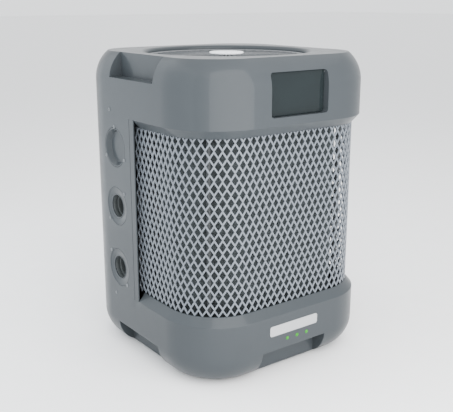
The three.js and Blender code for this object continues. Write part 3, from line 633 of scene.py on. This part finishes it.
def top_cover():
    side_y = stops(SIDE_Y_HALF, (PANEL_EDGE, HANDLE_HALF))
    side_x = stops(SIDE_X_HALF, (PANEL_EDGE, DISPLAY_HALF, DISPLAY_HALF - DISPLAY_CORNER))
    rings = [[(x, y, z) for x, y in plan_loop(inset, side_y, side_x)] for inset, z in top_profile()]
    rim = plan_loop(HANDLE_DEPTH, side_y, side_x)
    rings.append([(x, y, TOP) for x, y in rim])
    lip = [(OPENING_RADIUS + OPENING_ROUND * (1 - math.sin(a)), TOP - OPENING_ROUND * (1 - math.cos(a)))
           for a in quarter_turn(6)]
    for radius, z in (*lip, (OPENING_RADIUS, LEDGE_Z), (LEDGE_RADIUS, LEDGE_Z)):
        rings.append(round_loop(rim, radius, z))
    bm = bmesh.new()
    skin_rings(bm, rings)
    lost = faces_where(bm, lambda p: p.z < BAND_UPPER and in_panel_corner(p))
    bmesh.ops.delete(bm, geom=lost, context="FACES")
    for side in (-1, 1):
        pocket = faces_where(bm, lambda p: in_handle(p) and p.x * side > 0)
        sink(bm, pocket, 0, side * (HALF_X - HANDLE_DEPTH))
    sink(bm, display_faces(bm), 1, -(HALF_Y - DISPLAY_DEPTH))
    piece = give_wall(finish_mesh("top_shell", bm, CASING))
    soften(piece, SHELL_EDGE, crisp=at_seam)
    settle(piece, nodes=["top_cover"])


def bottom_profile():
    """Inset and height up the outside of the base casing, from its curled-in foot to the lip."""
    inner = math.acos(1 - CURL_INSET / BOTTOM_ROUND)
    deep = math.acos(1 - FOOTHOLD_DEPTH / BOTTOM_ROUND)
    top = math.asin((BOTTOM_ROUND_START - FOOTHOLD_TOP) / BOTTOM_ROUND)
    angles = spread(inner, deep, 2) + spread(deep, top, 12)[1:] + [0]
    curl = arc_profile(BOTTOM_ROUND, BOTTOM_ROUND_START, angles, -1)
    foot = [(FOOT_INSET, curl[0][1] - 0.0005)]
    lip_z = BAND_LOWER + LIP_SLOPE
    straight = [(0, 0.10), (0, 0.13), (0, BAND_LOWER), (LIP_INSET, lip_z), (LIP_INSET + SKIN, lip_z)]
    return foot + curl + straight


def in_foothold_x(point):
    deep = HALF_X - FOOTHOLD_DEPTH
    return abs(point.y) < FOOTHOLD_HALF_Y and abs(point.x) > deep and point.z < FOOTHOLD_TOP


def in_foothold_y(point):
    deep = HALF_Y - FOOTHOLD_DEPTH
    return abs(point.x) < FOOTHOLD_HALF_X and abs(point.y) > deep and point.z < FOOTHOLD_TOP


def base_casing():
    side_y = stops(SIDE_Y_HALF, (PANEL_EDGE, FOOTHOLD_HALF_Y))
    side_x = stops(SIDE_X_HALF, (PANEL_EDGE, FOOTHOLD_HALF_X))
    rings = [[(x, y, z) for x, y in plan_loop(inset, side_y, side_x)] for inset, z in bottom_profile()]
    bm = bmesh.new()
    skin_rings(bm, rings)
    lost = faces_where(bm, lambda p: p.z > BAND_LOWER and in_panel_corner(p))
    bmesh.ops.delete(bm, geom=lost, context="FACES")
    for side in (-1, 1):
        foothold = faces_where(bm, lambda p: in_foothold_x(p) and p.x * side > 0)
        sink(bm, foothold, 0, side * (HALF_X - FOOTHOLD_DEPTH))
        foothold = faces_where(bm, lambda p: in_foothold_y(p) and p.y * side > 0)
        sink(bm, foothold, 1, side * (HALF_Y - FOOTHOLD_DEPTH))
    piece = give_wall(finish_mesh("base_shell", bm, CASING))
    soften(piece, SHELL_EDGE, crisp=at_seam)
    settle(piece, nodes=["base_casing"])


def cut_with(piece, cutter):
    """Takes the cutter's volume away from the piece."""
    modify(piece, "BOOLEAN", operation="DIFFERENCE", object=cutter, solver="EXACT")
    apply_modifiers(piece)
    bpy.data.objects.remove(cutter)


def port_centre(node):
    low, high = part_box(node)
    return (low.z + high.z) / 2


SOCKET_RADIUS = 0.030
SOCKET_BORE = 0.025
SOCKET_BACK = 0.2155
PORT_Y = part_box("water_inlet_socket")[0].y + SOCKET_RADIUS
PORT_HOLE = 0.0489


def port_place(node):
    """Turns a piece that stands up Z to face -X, on the axis of a port."""
    return Matrix.Translation((0, PORT_Y, port_centre(node))) @ ALONG_X


def service_panel():
    """The flush panel round the rear left corner, creased beside its open edges, with three round holes."""
    x, y = HALF_X, HALF_Y
    crease = [(PANEL_CREASE - 0.0012, 0), (PANEL_CREASE, 0.0018), (PANEL_CREASE + 0.0012, 0)]
    marks = [(v, 0) for v in stops(SIDE_Y_HALF, (PANEL_EDGE,)) if v > PANEL_CREASE + 0.002]
    line = [(-x + depth, v) for v, depth in [(PANEL_EDGE, 0)] + crease + marks]
    for k in range(1, CORNER_STEPS):
        angle = math.radians(180 - 90 * k / CORNER_STEPS)
        line.append((CORNER - x + CORNER * math.cos(angle), y - CORNER + CORNER * math.sin(angle)))
    marks = [(v, 0) for v in stops(SIDE_X_HALF, (PANEL_EDGE,)) if v < -PANEL_CREASE - 0.002]
    mirrored = [(-v, depth) for v, depth in crease[::-1]]
    line += [(v, y - depth) for v, depth in marks + mirrored + [(-PANEL_EDGE, 0)]]
    seam = 0.00005
    bm = bmesh.new()
    levels = spread(BAND_LOWER + seam, BAND_UPPER - seam, 12)
    skin_rings(bm, [[(a, b, z) for a, b in line] for z in levels], closed=False)
    piece = finish_mesh("service_skin", bm, CASING)
    if sum(p.normal.y - p.normal.x for p in piece.data.polygons) < 0:
        piece.data.flip_normals()
    give_wall(piece)
    inside, outside = 0.25, 0.30
    hole = [(0, inside), (PORT_HOLE, inside), (PORT_HOLE, outside), (0, outside)]
    for node in ("blank_cap", "outlet_ring", "inlet_ring"):
        cut_with(piece, turned("cutter", hole, CASING, 96, port_place(node)))
    soften(piece, 0.0010, crisp=at_seam)
    settle(piece, nodes=["service_panel"])


# ---- Lattice screen ----

SCREEN_LOW, SCREEN_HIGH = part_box("mesh_screen")[0].z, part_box("mesh_screen")[1].z
SCREEN_INSET = 0.018
LATTICE_PITCH = 0.0190
LATTICE_RISE = 0.0336
HOLE_WIDE = 0.86
HOLE_TALL = 0.71
BAR_DEPTH = 0.0035
SCREEN_OVERLAP = 0.0240


def screen_path(inset):
    """Length of the screen's plan line, and a function for the point and outward normal along it."""
    radius = CORNER - inset
    straight_y, straight_x = SIDE_Y_HALF, SIDE_X_HALF
    x, y = HALF_X - inset, HALF_Y - inset
    start = PANEL_EDGE + SCREEN_OVERLAP
    quarter = radius * math.pi / 2
    runs = [
        ("line", start + straight_y, (-x, start), (0, -1)),
        ("arc", quarter, (-straight_x, -straight_y), 180),
        ("line", 2 * straight_x, (-straight_x, -y), (1, 0)),
        ("arc", quarter, (straight_x, -straight_y), 270),
        ("line", 2 * straight_y, (x, -straight_y), (0, 1)),
        ("arc", quarter, (straight_x, straight_y), 0),
        ("line", straight_x + start, (straight_x, y), (-1, 0)),
    ]
    total = sum(run[1] for run in runs)

    def at(s):
        for kind, length, origin, heading in runs:
            if s <= length or kind == "line" and origin == (straight_x, y):
                break
            s -= length
        if kind == "line":
            return (origin[0] + heading[0] * s, origin[1] + heading[1] * s), (heading[1], -heading[0])
        angle = math.radians(heading) + s / radius
        normal = (math.cos(angle), math.sin(angle))
        return (origin[0] + radius * normal[0], origin[1] + radius * normal[1]), normal

    return total, at


def flat_lattice(length, height):
    """A flat sheet of crossing bars round diamond holes: x runs along, y across, z stands for depth."""
    bm = bmesh.new()
    columns = math.ceil(length / LATTICE_PITCH) + 1
    rows = math.ceil(2 * height / LATTICE_RISE) + 2
    half_w, half_h = LATTICE_PITCH / 2, LATTICE_RISE / 2
    shape = ((-1, 0), (0, 1), (1, 0), (0, -1))
    for row in range(-1, rows):
        for column in range(-1, columns):
            cx = (column + (row % 2) / 2) * LATTICE_PITCH
            cy = row * half_h
            outer = [bm.verts.new((cx + half_w * a, cy + half_h * b, 0)) for a, b in shape]
            wide, tall = half_w * HOLE_WIDE, half_h * HOLE_TALL
            inner = [bm.verts.new((cx + wide * a, cy + tall * b, 0)) for a, b in shape]
            for k in range(4):
                n = (k + 1) % 4
                bm.faces.new((outer[k], outer[n], inner[n], inner[k]))
    bmesh.ops.remove_doubles(bm, verts=bm.verts, dist=1e-5)
    for point, normal in (((0, 0, 0), (-1, 0, 0)), ((length, 0, 0), (1, 0, 0)),
                          ((0, 0, 0), (0, -1, 0)), ((0, height, 0), (0, 1, 0))):
        geometry = bm.verts[:] + bm.edges[:] + bm.faces[:]
        bmesh.ops.bisect_plane(bm, geom=geometry, plane_co=point, plane_no=normal, clear_outer=True,
                               dist=1e-6)
    return bm


def lattice_screen():
    """The screen: the flat lattice wrapped round three corners and given bevelled bars."""
    length, at = screen_path(SCREEN_INSET)
    bm = flat_lattice(length, SCREEN_HIGH - SCREEN_LOW)
    for vert in bm.verts:
        (x, y), _ = at(min(max(vert.co.x, 0), length))
        vert.co = (x, y, SCREEN_LOW + vert.co.y)
    piece = finish_mesh("screen_lattice", bm, SCREEN)
    outward = sum(p.normal.dot(p.center) * p.area for p in piece.data.polygons)
    if outward < 0:
        piece.data.flip_normals()
    modify(piece, "SOLIDIFY", thickness=BAR_DEPTH, offset=-1, use_even_offset=True)
    modify(piece, "BEVEL", width=0.0009, segments=1, limit_method="ANGLE", angle_limit=math.radians(60))
    apply_modifiers(piece)
    settle(piece, nodes=["mesh_screen"])


# ---- Air coil ----

COIL_LOW, COIL_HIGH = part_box("evaporator_coil")
COIL_INSET = HALF_X - COIL_HIGH.x
COIL_DEPTH = 0.026
COIL_SKIP = PANEL_EDGE + SCREEN_OVERLAP + 0.022
TUBE_REACH = 0.004
FIN_PITCH = 0.0016
FIN_HALF = 0.0003
TUBE_RADIUS = 0.0045
TUBE_ROWS = 14
TUBE_PITCH = (COIL_HIGH.z - COIL_LOW.z) / TUBE_ROWS


def coil_fins():
    """Thin upright fins across the coil, all along its line."""
    length, at = screen_path(COIL_INSET)
    run = length - 2 * COIL_SKIP
    bm = bmesh.new()
    count = int(run / FIN_PITCH)
    for k in range(count + 1):
        (x, y), normal = at(COIL_SKIP + run * k / count)
        side = Vector((-normal[1], normal[0], 0)) * FIN_HALF
        front = Vector((x, y, 0))
        back = front - Vector((normal[0], normal[1], 0)) * COIL_DEPTH
        corners = [front - side, front + side, back + side, back - side]
        capped(bm, [[c + Vector((0, 0, z)) for c in corners] for z in (COIL_LOW.z, COIL_HIGH.z)])
    piece = finish_mesh("coil_fins", bm, MATERIALS["fin_aluminium"], smooth=False)
    settle(piece, nodes=["evaporator_coil"])


def coil_tubes():
    """Level tubes in fin collars, in two banks, joined in pairs by return bends at both ends."""
    bm = bmesh.new()
    for bank in (0.25, 0.75):
        length, at = screen_path(COIL_INSET + COIL_DEPTH * bank)
        start = COIL_SKIP - TUBE_REACH
        stations = spread(start, length - start, 90)
        for row in range(TUBE_ROWS):
            z = COIL_LOW.z + TUBE_PITCH * (row + 0.5)
            tube_mesh(bm, [(*at(s)[0], z) for s in stations], TUBE_RADIUS, 8)
    piece = finish_mesh("coil_collars", bm, MATERIALS["fin_aluminium"])
    settle(piece)
    for row in range(0, TUBE_ROWS, 2):
        return_bends(row)


def return_bends(row):
    """The two U-shaped bends that join one pair of tubes, one at each end of the coil."""
    length, at = screen_path(COIL_INSET + COIL_DEPTH / 2)
    start = COIL_SKIP - TUBE_REACH
    half = TUBE_PITCH / 2
    z = COIL_LOW.z + TUBE_PITCH * (row + 1)
    for end, station, outward in (("left", start, (0, 1)), ("rear", length - start, (-1, 0))):
        (x, y), _ = at(station)
        bm = bmesh.new()
        points = [Vector((x + outward[0] * half * math.sin(a), y + outward[1] * half * math.sin(a),
                          z - half * math.cos(a))) for a in spread(0, math.pi, 10)]
        tube_mesh(bm, points, TUBE_RADIUS, 10)
        settle(finish_mesh(f"bend_{end}_{row}", bm, MATERIALS["copper_tube"]))


# ---- Fan guard and fan ----

GUARD_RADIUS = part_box("fan_guard")[1].x
GUARD_RIM_TOP = 0.749
CAP_LOW, CAP_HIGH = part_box("guard_cap")[0].z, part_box("guard_cap")[1].z
CAP_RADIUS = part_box("guard_cap")[1].x
SPOKES = 48
SPOKE_DEPTH = 0.0045
SPOKE_HALF = 0.0009
RING_RADII = (0.092, 0.144)
HUB_LOW, HUB_HIGH = 0.655, 0.700
HUB_RADIUS = 0.050
SHAFT_HOLE = 0.0066
BLADES = 5


def guard_top(radius):
    """Height of the guard's gently domed top at a radius."""
    share = 1 - (radius / GUARD_RADIUS) ** 2
    return GUARD_RIM_TOP - 0.001 + share * (CAP_LOW - GUARD_RIM_TOP + 0.0015)


def guard_rings():
    """Two thin wire rings that tie the ribs together from below."""
    bm = bmesh.new()
    for radius in RING_RADII:
        z = guard_top(radius) - SPOKE_DEPTH
        turn = [math.tau * k / 96 for k in range(96)]
        points = [(radius * math.cos(a), radius * math.sin(a), z) for a in turn]
        tube_mesh(bm, points, 0.0007, 6, closed=True)
    piece = finish_mesh("guard_rings", bm, GUARD)
    settle(piece)


def guard_frame():
    """The guard's rim and radial ribs."""
    bm = bmesh.new()
    inner = CAP_RADIUS - 0.006
    for spoke in range(SPOKES):
        turn = Matrix.Rotation(math.tau * spoke / SPOKES, 4, "Z")
        rings = []
        for radius in spread(inner, GUARD_RADIUS - 0.004, 8):
            top = guard_top(radius)
            foot = top - SPOKE_DEPTH
            section = ((-SPOKE_HALF, foot), (SPOKE_HALF, foot), (SPOKE_HALF, top), (-SPOKE_HALF, top))
            rings.append([turn @ Vector((radius, y, z)) for y, z in section])
        capped(bm, rings)
    piece = finish_mesh("guard_ribs", bm, GUARD)
    soften(piece, 0.0004, 1, 60)
    settle(piece)
    bore, foot = GUARD_RADIUS - 0.009, LEDGE_Z + 0.0005
    profile = [(bore, foot), (GUARD_RADIUS, foot), (GUARD_RADIUS, GUARD_RIM_TOP),
               (GUARD_RADIUS - 0.003, GUARD_RIM_TOP + 0.001), (bore, GUARD_RIM_TOP - 0.002)]
    rim = turned("guard_rim", profile, GUARD, 160)
    soften(rim, 0.0008)
    settle(rim, nodes=["fan_guard"])


def guard_cap():
    """The flat bright disc over the middle of the guard."""
    low, high, edge = CAP_LOW - 0.001, CAP_HIGH, 0.0015
    profile = [(0, low), (CAP_RADIUS - edge, low), (CAP_RADIUS, low + edge), (CAP_RADIUS, high - edge),
               (CAP_RADIUS - edge, high - 0.0003), (CAP_RADIUS * 0.8, high), (0, high)]
    piece = turned("guard_disc", profile, CAP, 96)
    soften(piece, 0.0004, 2, 20)
    settle(piece, nodes=["guard_cap"])


def guard_screws():
    """Four screws that hold the guard to its ledge."""
    radius = GUARD_RADIUS - 0.0045
    for k in range(4):
        angle = math.radians(45 + 90 * k)
        x, y = radius * math.cos(angle), radius * math.sin(angle)
        screw(f"guard_screw_{k}", Matrix.Translation((x, y, GUARD_RIM_TOP - 0.001)), 0.0032)


def fan_shroud():
    """A short duct with a flared mouth and a flange at each end."""
    low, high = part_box("fan_shroud")[0].z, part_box("fan_shroud")[1].z
    throat, mouth, flange, rise = 0.183, 0.200, 0.206, 0.028
    flare = [(throat + (mouth - throat) * (1 - math.cos(a)), low + rise * (1 - math.sin(a)))
             for a in quarter_turn(8)]
    profile = [(throat, high), *flare, (flange, low), (flange, low + WALL), (mouth + WALL / 2, low + WALL),
               (throat + WALL, low + rise + WALL), (throat + WALL, high - WALL), (mouth, high - WALL),
               (mouth, high)]
    piece = turned("shroud_ring", profile, MATERIALS["dark_plastic"], 128)
    soften(piece, 0.0006)
    settle(piece, nodes=["fan_shroud"])


def impeller():
    """Hub and swept, twisted blades of changing chord."""
    hub, high, edge = HUB_RADIUS, HUB_HIGH, 0.008
    profile = [(SHAFT_HOLE, HUB_LOW), (hub, HUB_LOW), (hub, high - edge),
               (hub - edge * 0.3, high - edge * 0.3), (hub - edge, high), (SHAFT_HOLE, high)]
    piece = turned("fan_hub", profile, MATERIALS["fan_plastic"], 72)
    soften(piece, 0.0010)
    settle(piece, "fan_rotor", ["fan_impeller"])
    for blade in range(BLADES):
        settle(fan_blade(blade), "fan_rotor")


def fan_blade(index):
    """One blade, lofted from hub to tip."""
    section = [(u, 1) for u in spread(-0.5, 0.5, 10)]
    section += [(u, -1) for u in spread(0.5, -0.5, 10)[1:-1]]
    bm = bmesh.new()
    capped(bm, [[blade_point(t, u, side) for u, side in section] for t in spread(0, 1, 12)])
    bm.transform(Matrix.Rotation(math.tau * index / BLADES, 4, "Z"))
    return finish_mesh(f"fan_blade_{index}", bm, MATERIALS["fan_plastic"])


def blade_point(t, u, side):
    """A blade's point at a share t of its length and u of its chord, above or below the camber line."""
    radius = 0.046 + 0.130 * t
    pitch = math.radians(34 - 14 * t)
    chord = 0.066 + 0.040 * math.sin(math.pi * (0.25 + 0.5 * t))
    fall = max(0.0, 1 - 4 * u * u)
    camber = 0.006 * fall
    thick = 0.0016 * math.sqrt(fall) + 0.0002
    angle = 0.30 * t * t + u * chord * math.cos(pitch) / radius
    z = (HUB_LOW + HUB_HIGH) / 2 + u * chord * math.sin(pitch) + camber + side * thick
    return Vector((radius * math.cos(angle), radius * math.sin(angle), z))


# ---- Fasteners ----

def screw(name, place, radius):
    """A pan-head screw with a cross recess. Its head stands up the place's own Z axis."""
    height = radius * 0.55
    profile = [(0, -0.002), (radius * 0.9, -0.002), (radius, 0), (radius, height * 0.35)]
    profile += [(radius * math.cos(a), height * (0.35 + 0.65 * math.sin(a))) for a in spread(0.3, 1.2, 4)]
    profile.append((0, height))
    piece = turned(name, profile, MATERIALS["bright_steel"], 28)
    long, thin = radius * 0.6, radius * 0.13
    for across, along in ((long, thin), (thin, long)):
        bm = bmesh.new()
        box_mesh(bm, (-across, -along, height * 0.45), (across, along, height * 2))
        cut_with(piece, finish_mesh("cutter", bm, MATERIALS["bright_steel"], smooth=False))
    even_normals(piece)
    piece.data.transform(place)
    settle(piece)


PANEL_SCREW = 0.0042


def side_screw(name, y, z, turn):
    place = Matrix.Translation((-HALF_X, y, z)) @ ALONG_X @ Matrix.Rotation(turn, 4, "Z")
    screw(name, place, PANEL_SCREW)


# ---- Water ports ----

RING_RADIUS = 0.0482
RING_BORE = 0.0320
BUSH_BORE = 0.0284
RING_SUNK = 0.0016
RING_BACK = 0.0073
PORT_SCREW_REACH = 0.0535
BLANK_SCREW_REACH = 0.0505
BLANK_DEPTH = 0.012


def port_rings():
    """Two rings round the water sockets, each sunk a little and held by two screws on a slant."""
    outer, face, back = HALF_X, HALF_X - RING_SUNK, HALF_X - RING_BACK
    edge, radius = 0.0010, RING_RADIUS
    profile = [(RING_BORE, back), (RING_BORE, face), (radius - 3 * edge, face), (radius - 2 * edge, outer),
               (radius - 0.3 * edge, outer), (radius, outer - 0.3 * edge), (radius, back)]
    offset = PORT_SCREW_REACH / math.sqrt(2)
    for node, slant in (("outlet_ring", 1), ("inlet_ring", -1)):
        z = port_centre(node)
        place = port_place(node)
        piece = even_normals(turned(node + "_face", profile, CASING, 96, place))
        settle(piece, nodes=[node])
        port_bush(node.replace("ring", ""), place, face)
        side_screw(f"{node}_screw_a", PORT_Y - offset, z + slant * offset, turn=0.4)
        side_screw(f"{node}_screw_b", PORT_Y + offset, z - slant * offset, turn=0.9)


def port_bush(name, place, face):
    """A reducing bush inside a ring, and the dark pipe sleeve behind it, in front of the socket."""
    edge, outer, behind = 0.0010, RING_BORE - 0.0002, face - 0.0030
    lip = [(BUSH_BORE + edge * (1 - math.sin(a)), face - edge * (1 - math.cos(a)))
           for a in quarter_turn(5)]
    bush = [(BUSH_BORE, behind), *lip[::-1], (outer, face), (outer, behind)]
    far, inner = HALF_X - 0.0155, BUSH_BORE + 0.0002
    sleeve = [(inner, far), (inner, behind - 0.0003), (outer, behind - 0.0003), (outer, far)]
    for kind, profile, material, slot in (("bush", bush, CASING, "casing_plastic"),
                                          ("sleeve", sleeve, MATERIALS["pvc"], "dark_plastic")):
        settle(even_normals(turned(name + kind, profile, material, 96, place)))


def blank_cap():
    """The dished blanking cap in the top opening, held by three screws."""
    face, floor = HALF_X, HALF_X - BLANK_DEPTH
    outer, edge = RING_RADIUS, 0.0008
    wall, foot, fillet = outer - 0.0036, outer - 0.0095, 0.002
    inner = [(foot - fillet * (1 - math.cos(a)), floor + fillet * (1 - math.sin(a)))
             for a in quarter_turn(5)]
    profile = [(0, floor), *inner[::-1], (wall, face - edge), (wall + edge, face), (outer - edge, face),
               (outer, face - edge), (outer, floor - WALL), (0, floor - WALL)]
    piece = even_normals(turned("blank_dish", profile, CASING, 96, port_place("blank_cap")))
    settle(piece, nodes=["blank_cap"])
    for k in range(3):
        angle = math.radians(90 + 120 * k)
        y = PORT_Y - BLANK_SCREW_REACH * math.cos(angle)
        z = port_centre("blank_cap") + BLANK_SCREW_REACH * math.sin(angle)
        side_screw(f"blank_screw_{k}", y, z, turn=k)


def socket(node):
    """A water socket with a chamfered mouth."""
    near, far = -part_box(node)[0].x, SOCKET_BACK
    bore, outer, edge = SOCKET_BORE, SOCKET_RADIUS, 0.0012
    profile = [(bore, far), (outer, far), (outer, near - edge), (outer - edge, near),
               (bore + 2 * edge, near), (bore, near - 2 * edge)]
    piece = even_normals(turned(node + "_tube", profile, MATERIALS["pvc"], 80, port_place(node)))
    settle(piece, nodes=[node])


def panel_screws():
    """Screws that hold the service panel to the two bands, on its left side and on its rear."""
    reach = 0.1035
    for name, z in (("top", BAND_UPPER + 0.0128), ("bottom", BAND_LOWER - 0.010)):
        side_screw(f"panel_screw_{name}", reach, z, turn=0.3)
        place = Matrix.Translation((-reach, HALF_Y, z)) @ Matrix.Rotation(math.radians(-90), 4, "X")
        screw(f"panel_screw_rear_{name}", place, PANEL_SCREW)


# ---- Controls ----

def flat_piece(name, node, corner, material, edge):
    """A rounded rectangular plate in the place of a CAD node that faces -Y."""
    low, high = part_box(node)
    outline = rounded_outline(high.x - low.x, high.z - low.z, corner, 8)
    bm = slab(outline, -high.y, -low.y)
    bm.transform(facing_front(node))
    piece = finish_mesh(name, bm, material)
    soften(piece, edge, 3)
    return settle(piece, nodes=[node])


def display_flap():
    """The smoked flap on its two hinge pins."""
    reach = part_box("display_flap")[1].x
    half, sheet, clear, pin, pin_z = DISPLAY_HALF - 0.0015, 0.003, 0.0006, 0.0019, 0.723
    face = HALF_Y - 0.015
    bottom, top = DISPLAY_LOW + clear, DISPLAY_HIGH - 2 * clear
    outline = rounded_outline(2 * half, top - bottom, DISPLAY_CORNER, 8)
    bm = slab(outline, face - sheet, face)
    bm.transform(Matrix.Translation((0, 0, (bottom + top) / 2)) @ ALONG_Y)
    piece = finish_mesh("flap_panel", bm, MATERIALS["smoked_plastic"])
    soften(piece, 0.0009, 3)
    settle(piece, "flap", ["display_flap"])
    root, edge = half - 0.001, 0.0005
    profile = [(0, root), (pin, root), (pin, reach - edge), (pin - edge, reach), (0, reach)]
    for name, side in (("left", -1), ("right", 1)):
        turn = Matrix.Rotation(math.radians(90 * side), 4, "Y")
        place = Matrix.Translation((0, -face + sheet / 2, pin_z)) @ turn
        pin_piece = turned("flap_pin_" + name, profile, MATERIALS["dark_plastic"], 24, place)
        settle(pin_piece, "flap")


def controls():
    """The controller, its display window and four push keys, behind the flap."""
    flat_piece("controller_case", "controller_body", 0.006, MATERIALS["dark_plastic"], 0.001)
    low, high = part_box("lcd_window")
    outline = rounded_outline(high.x - low.x, high.z - low.z, 0.002)
    bm = slab(outline, -low.y, -low.y + 0.0006)
    bm.transform(facing_front("lcd_window"))
    piece = finish_mesh("display_window", bm, MATERIALS["lcd_glass"])
    soften(piece, 0.0002)
    settle(piece, nodes=["lcd_window"])
    for name in ("power", "mode", "up", "down"):
        key_button(name)


def key_button(name):
    """A round key with a rounded edge and a slightly dished top."""
    node = name + "_key"
    low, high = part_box(node)
    radius, edge, top, foot = 0.005, 0.0008, -low.y, -high.y
    dome = [(radius - edge * (1 - math.cos(a)), top - edge * (1 - math.sin(a)))
            for a in quarter_turn(4)]
    dish = [(radius * 0.62, top - 0.00005), (radius * 0.4, top - 0.0002), (0, top - 0.00025)]
    profile = [(0, foot), (radius, foot), *dome, *dish]
    piece = turned(name + "_cap", profile, MATERIALS["key_plastic"], 48, facing_front(node))
    settle(piece, name + "_button", [node])


def status_lamps():
    """Three small domed lenses that stand a little proud of the front."""
    lens, rise, foot, back = 0.0044, 0.0011, HALF_Y + 0.0002, HALF_Y - 0.003
    dome = [(lens * math.cos(a), foot + rise * math.sin(a)) for a in quarter_turn(7)[:-1]]
    profile = [(0, back), (lens, back), *dome, (0, foot + rise)]
    for side in ("left", "middle", "right"):
        node = f"status_lamp_{side}"
        piece = turned(f"lamp_lens_{side}", profile, MATERIALS["green_lens"], 40, facing_front(node))
        settle(piece, nodes=[node])


def nameplate():
    """A plain brushed plate with softened edges, standing a little proud of the front."""
    proud = 0.0009
    piece = flat_piece("badge_plate", "nameplate", 0.006, MATERIALS["badge_metal"], 0.0004)
    piece.data.transform(Matrix.Translation((0, -proud, 0)))


# ---- Stage, lights and camera ----

def stage_floor():
    material = surface("floor_paper", (0.90, 0.90, 0.90), 0.75, 0.05, 0.01, 60, 0.02)
    bm = bmesh.new()
    reach = 40.0
    corners = [bm.verts.new((x * reach, y * reach, 0)) for x, y in ((-1, -1), (1, -1), (1, 1), (-1, 1))]
    bm.faces.new(corners)
    floor = finish_mesh("floor", bm, material, smooth=False)


def area_light(name, position, target, size_x, size_y, power, color=(1, 1, 1)):
    data = bpy.data.lights.new(name, "AREA")
    data.shape = "RECTANGLE"
    data.size, data.size_y = size_x, size_y
    data.energy = power
    data.color = color
    lamp = bpy.data.objects.new(name, data)
    lamp.location = position
    aim = Vector(target) - Vector(position)
    lamp.rotation_euler = aim.to_track_quat("-Z", "Y").to_euler()
    lamp.visible_camera = False
    bpy.context.scene.collection.objects.link(lamp)


def polar(azimuth, distance, z):
    """A place at an azimuth round the object: 0 is in front of it and -90 on its left."""
    angle = math.radians(azimuth)
    return (math.sin(angle) * distance, -math.cos(angle) * distance, z)


def lights():
    world = bpy.data.worlds.new("studio")
    world.use_nodes = True
    background = world.node_tree.nodes["Background"]
    background.inputs["Color"].default_value = (0.96, 0.98, 1.0, 1)
    background.inputs["Strength"].default_value = 1.8
    bpy.context.scene.world = world
    area_light("top_soft", (0.0, 0.0, 2.5), (0, 0, 0.4), 4.4, 4.4, 75)
    area_light("left_band", polar(-117, 1.15, 1.05), (0, 0, 1.05), 2.50, 2.10, 26, (0.84, 0.93, 1.0))
    area_light("front_band", polar(-10.5, 1.15, 1.05), (0, 0, 1.05), 1.60, 2.10, 62)


def camera():
    """Looks at the unit from its front left corner, a little from above."""
    azimuth, elevation, distance = math.radians(-36.58), math.radians(15.33), 1.9825
    target = Vector((0, 0, 0.35733))
    back = Vector((math.sin(azimuth) * math.cos(elevation), -math.cos(azimuth) * math.cos(elevation),
                   math.sin(elevation)))
    data = bpy.data.cameras.new("camera")
    data.sensor_width = 36
    data.lens = 59.89
    data.clip_start = 0.05
    view = bpy.data.objects.new("camera", data)
    view.location = target + back * distance
    view.rotation_euler = (-back).to_track_quat("-Z", "Y").to_euler()
    bpy.context.scene.collection.objects.link(view)
    bpy.context.scene.camera = view


camera()
dress_frame()
top_cover()
base_casing()
service_panel()
lattice_screen()
coil_fins()
coil_tubes()
guard_rings()
guard_frame()
guard_cap()
guard_screws()
fan_shroud()
impeller()
port_rings()
blank_cap()
socket("water_inlet_socket")
socket("water_outlet_socket")
panel_screws()
display_flap()
controls()
status_lamps()
nameplate()
stage_floor()
lights()
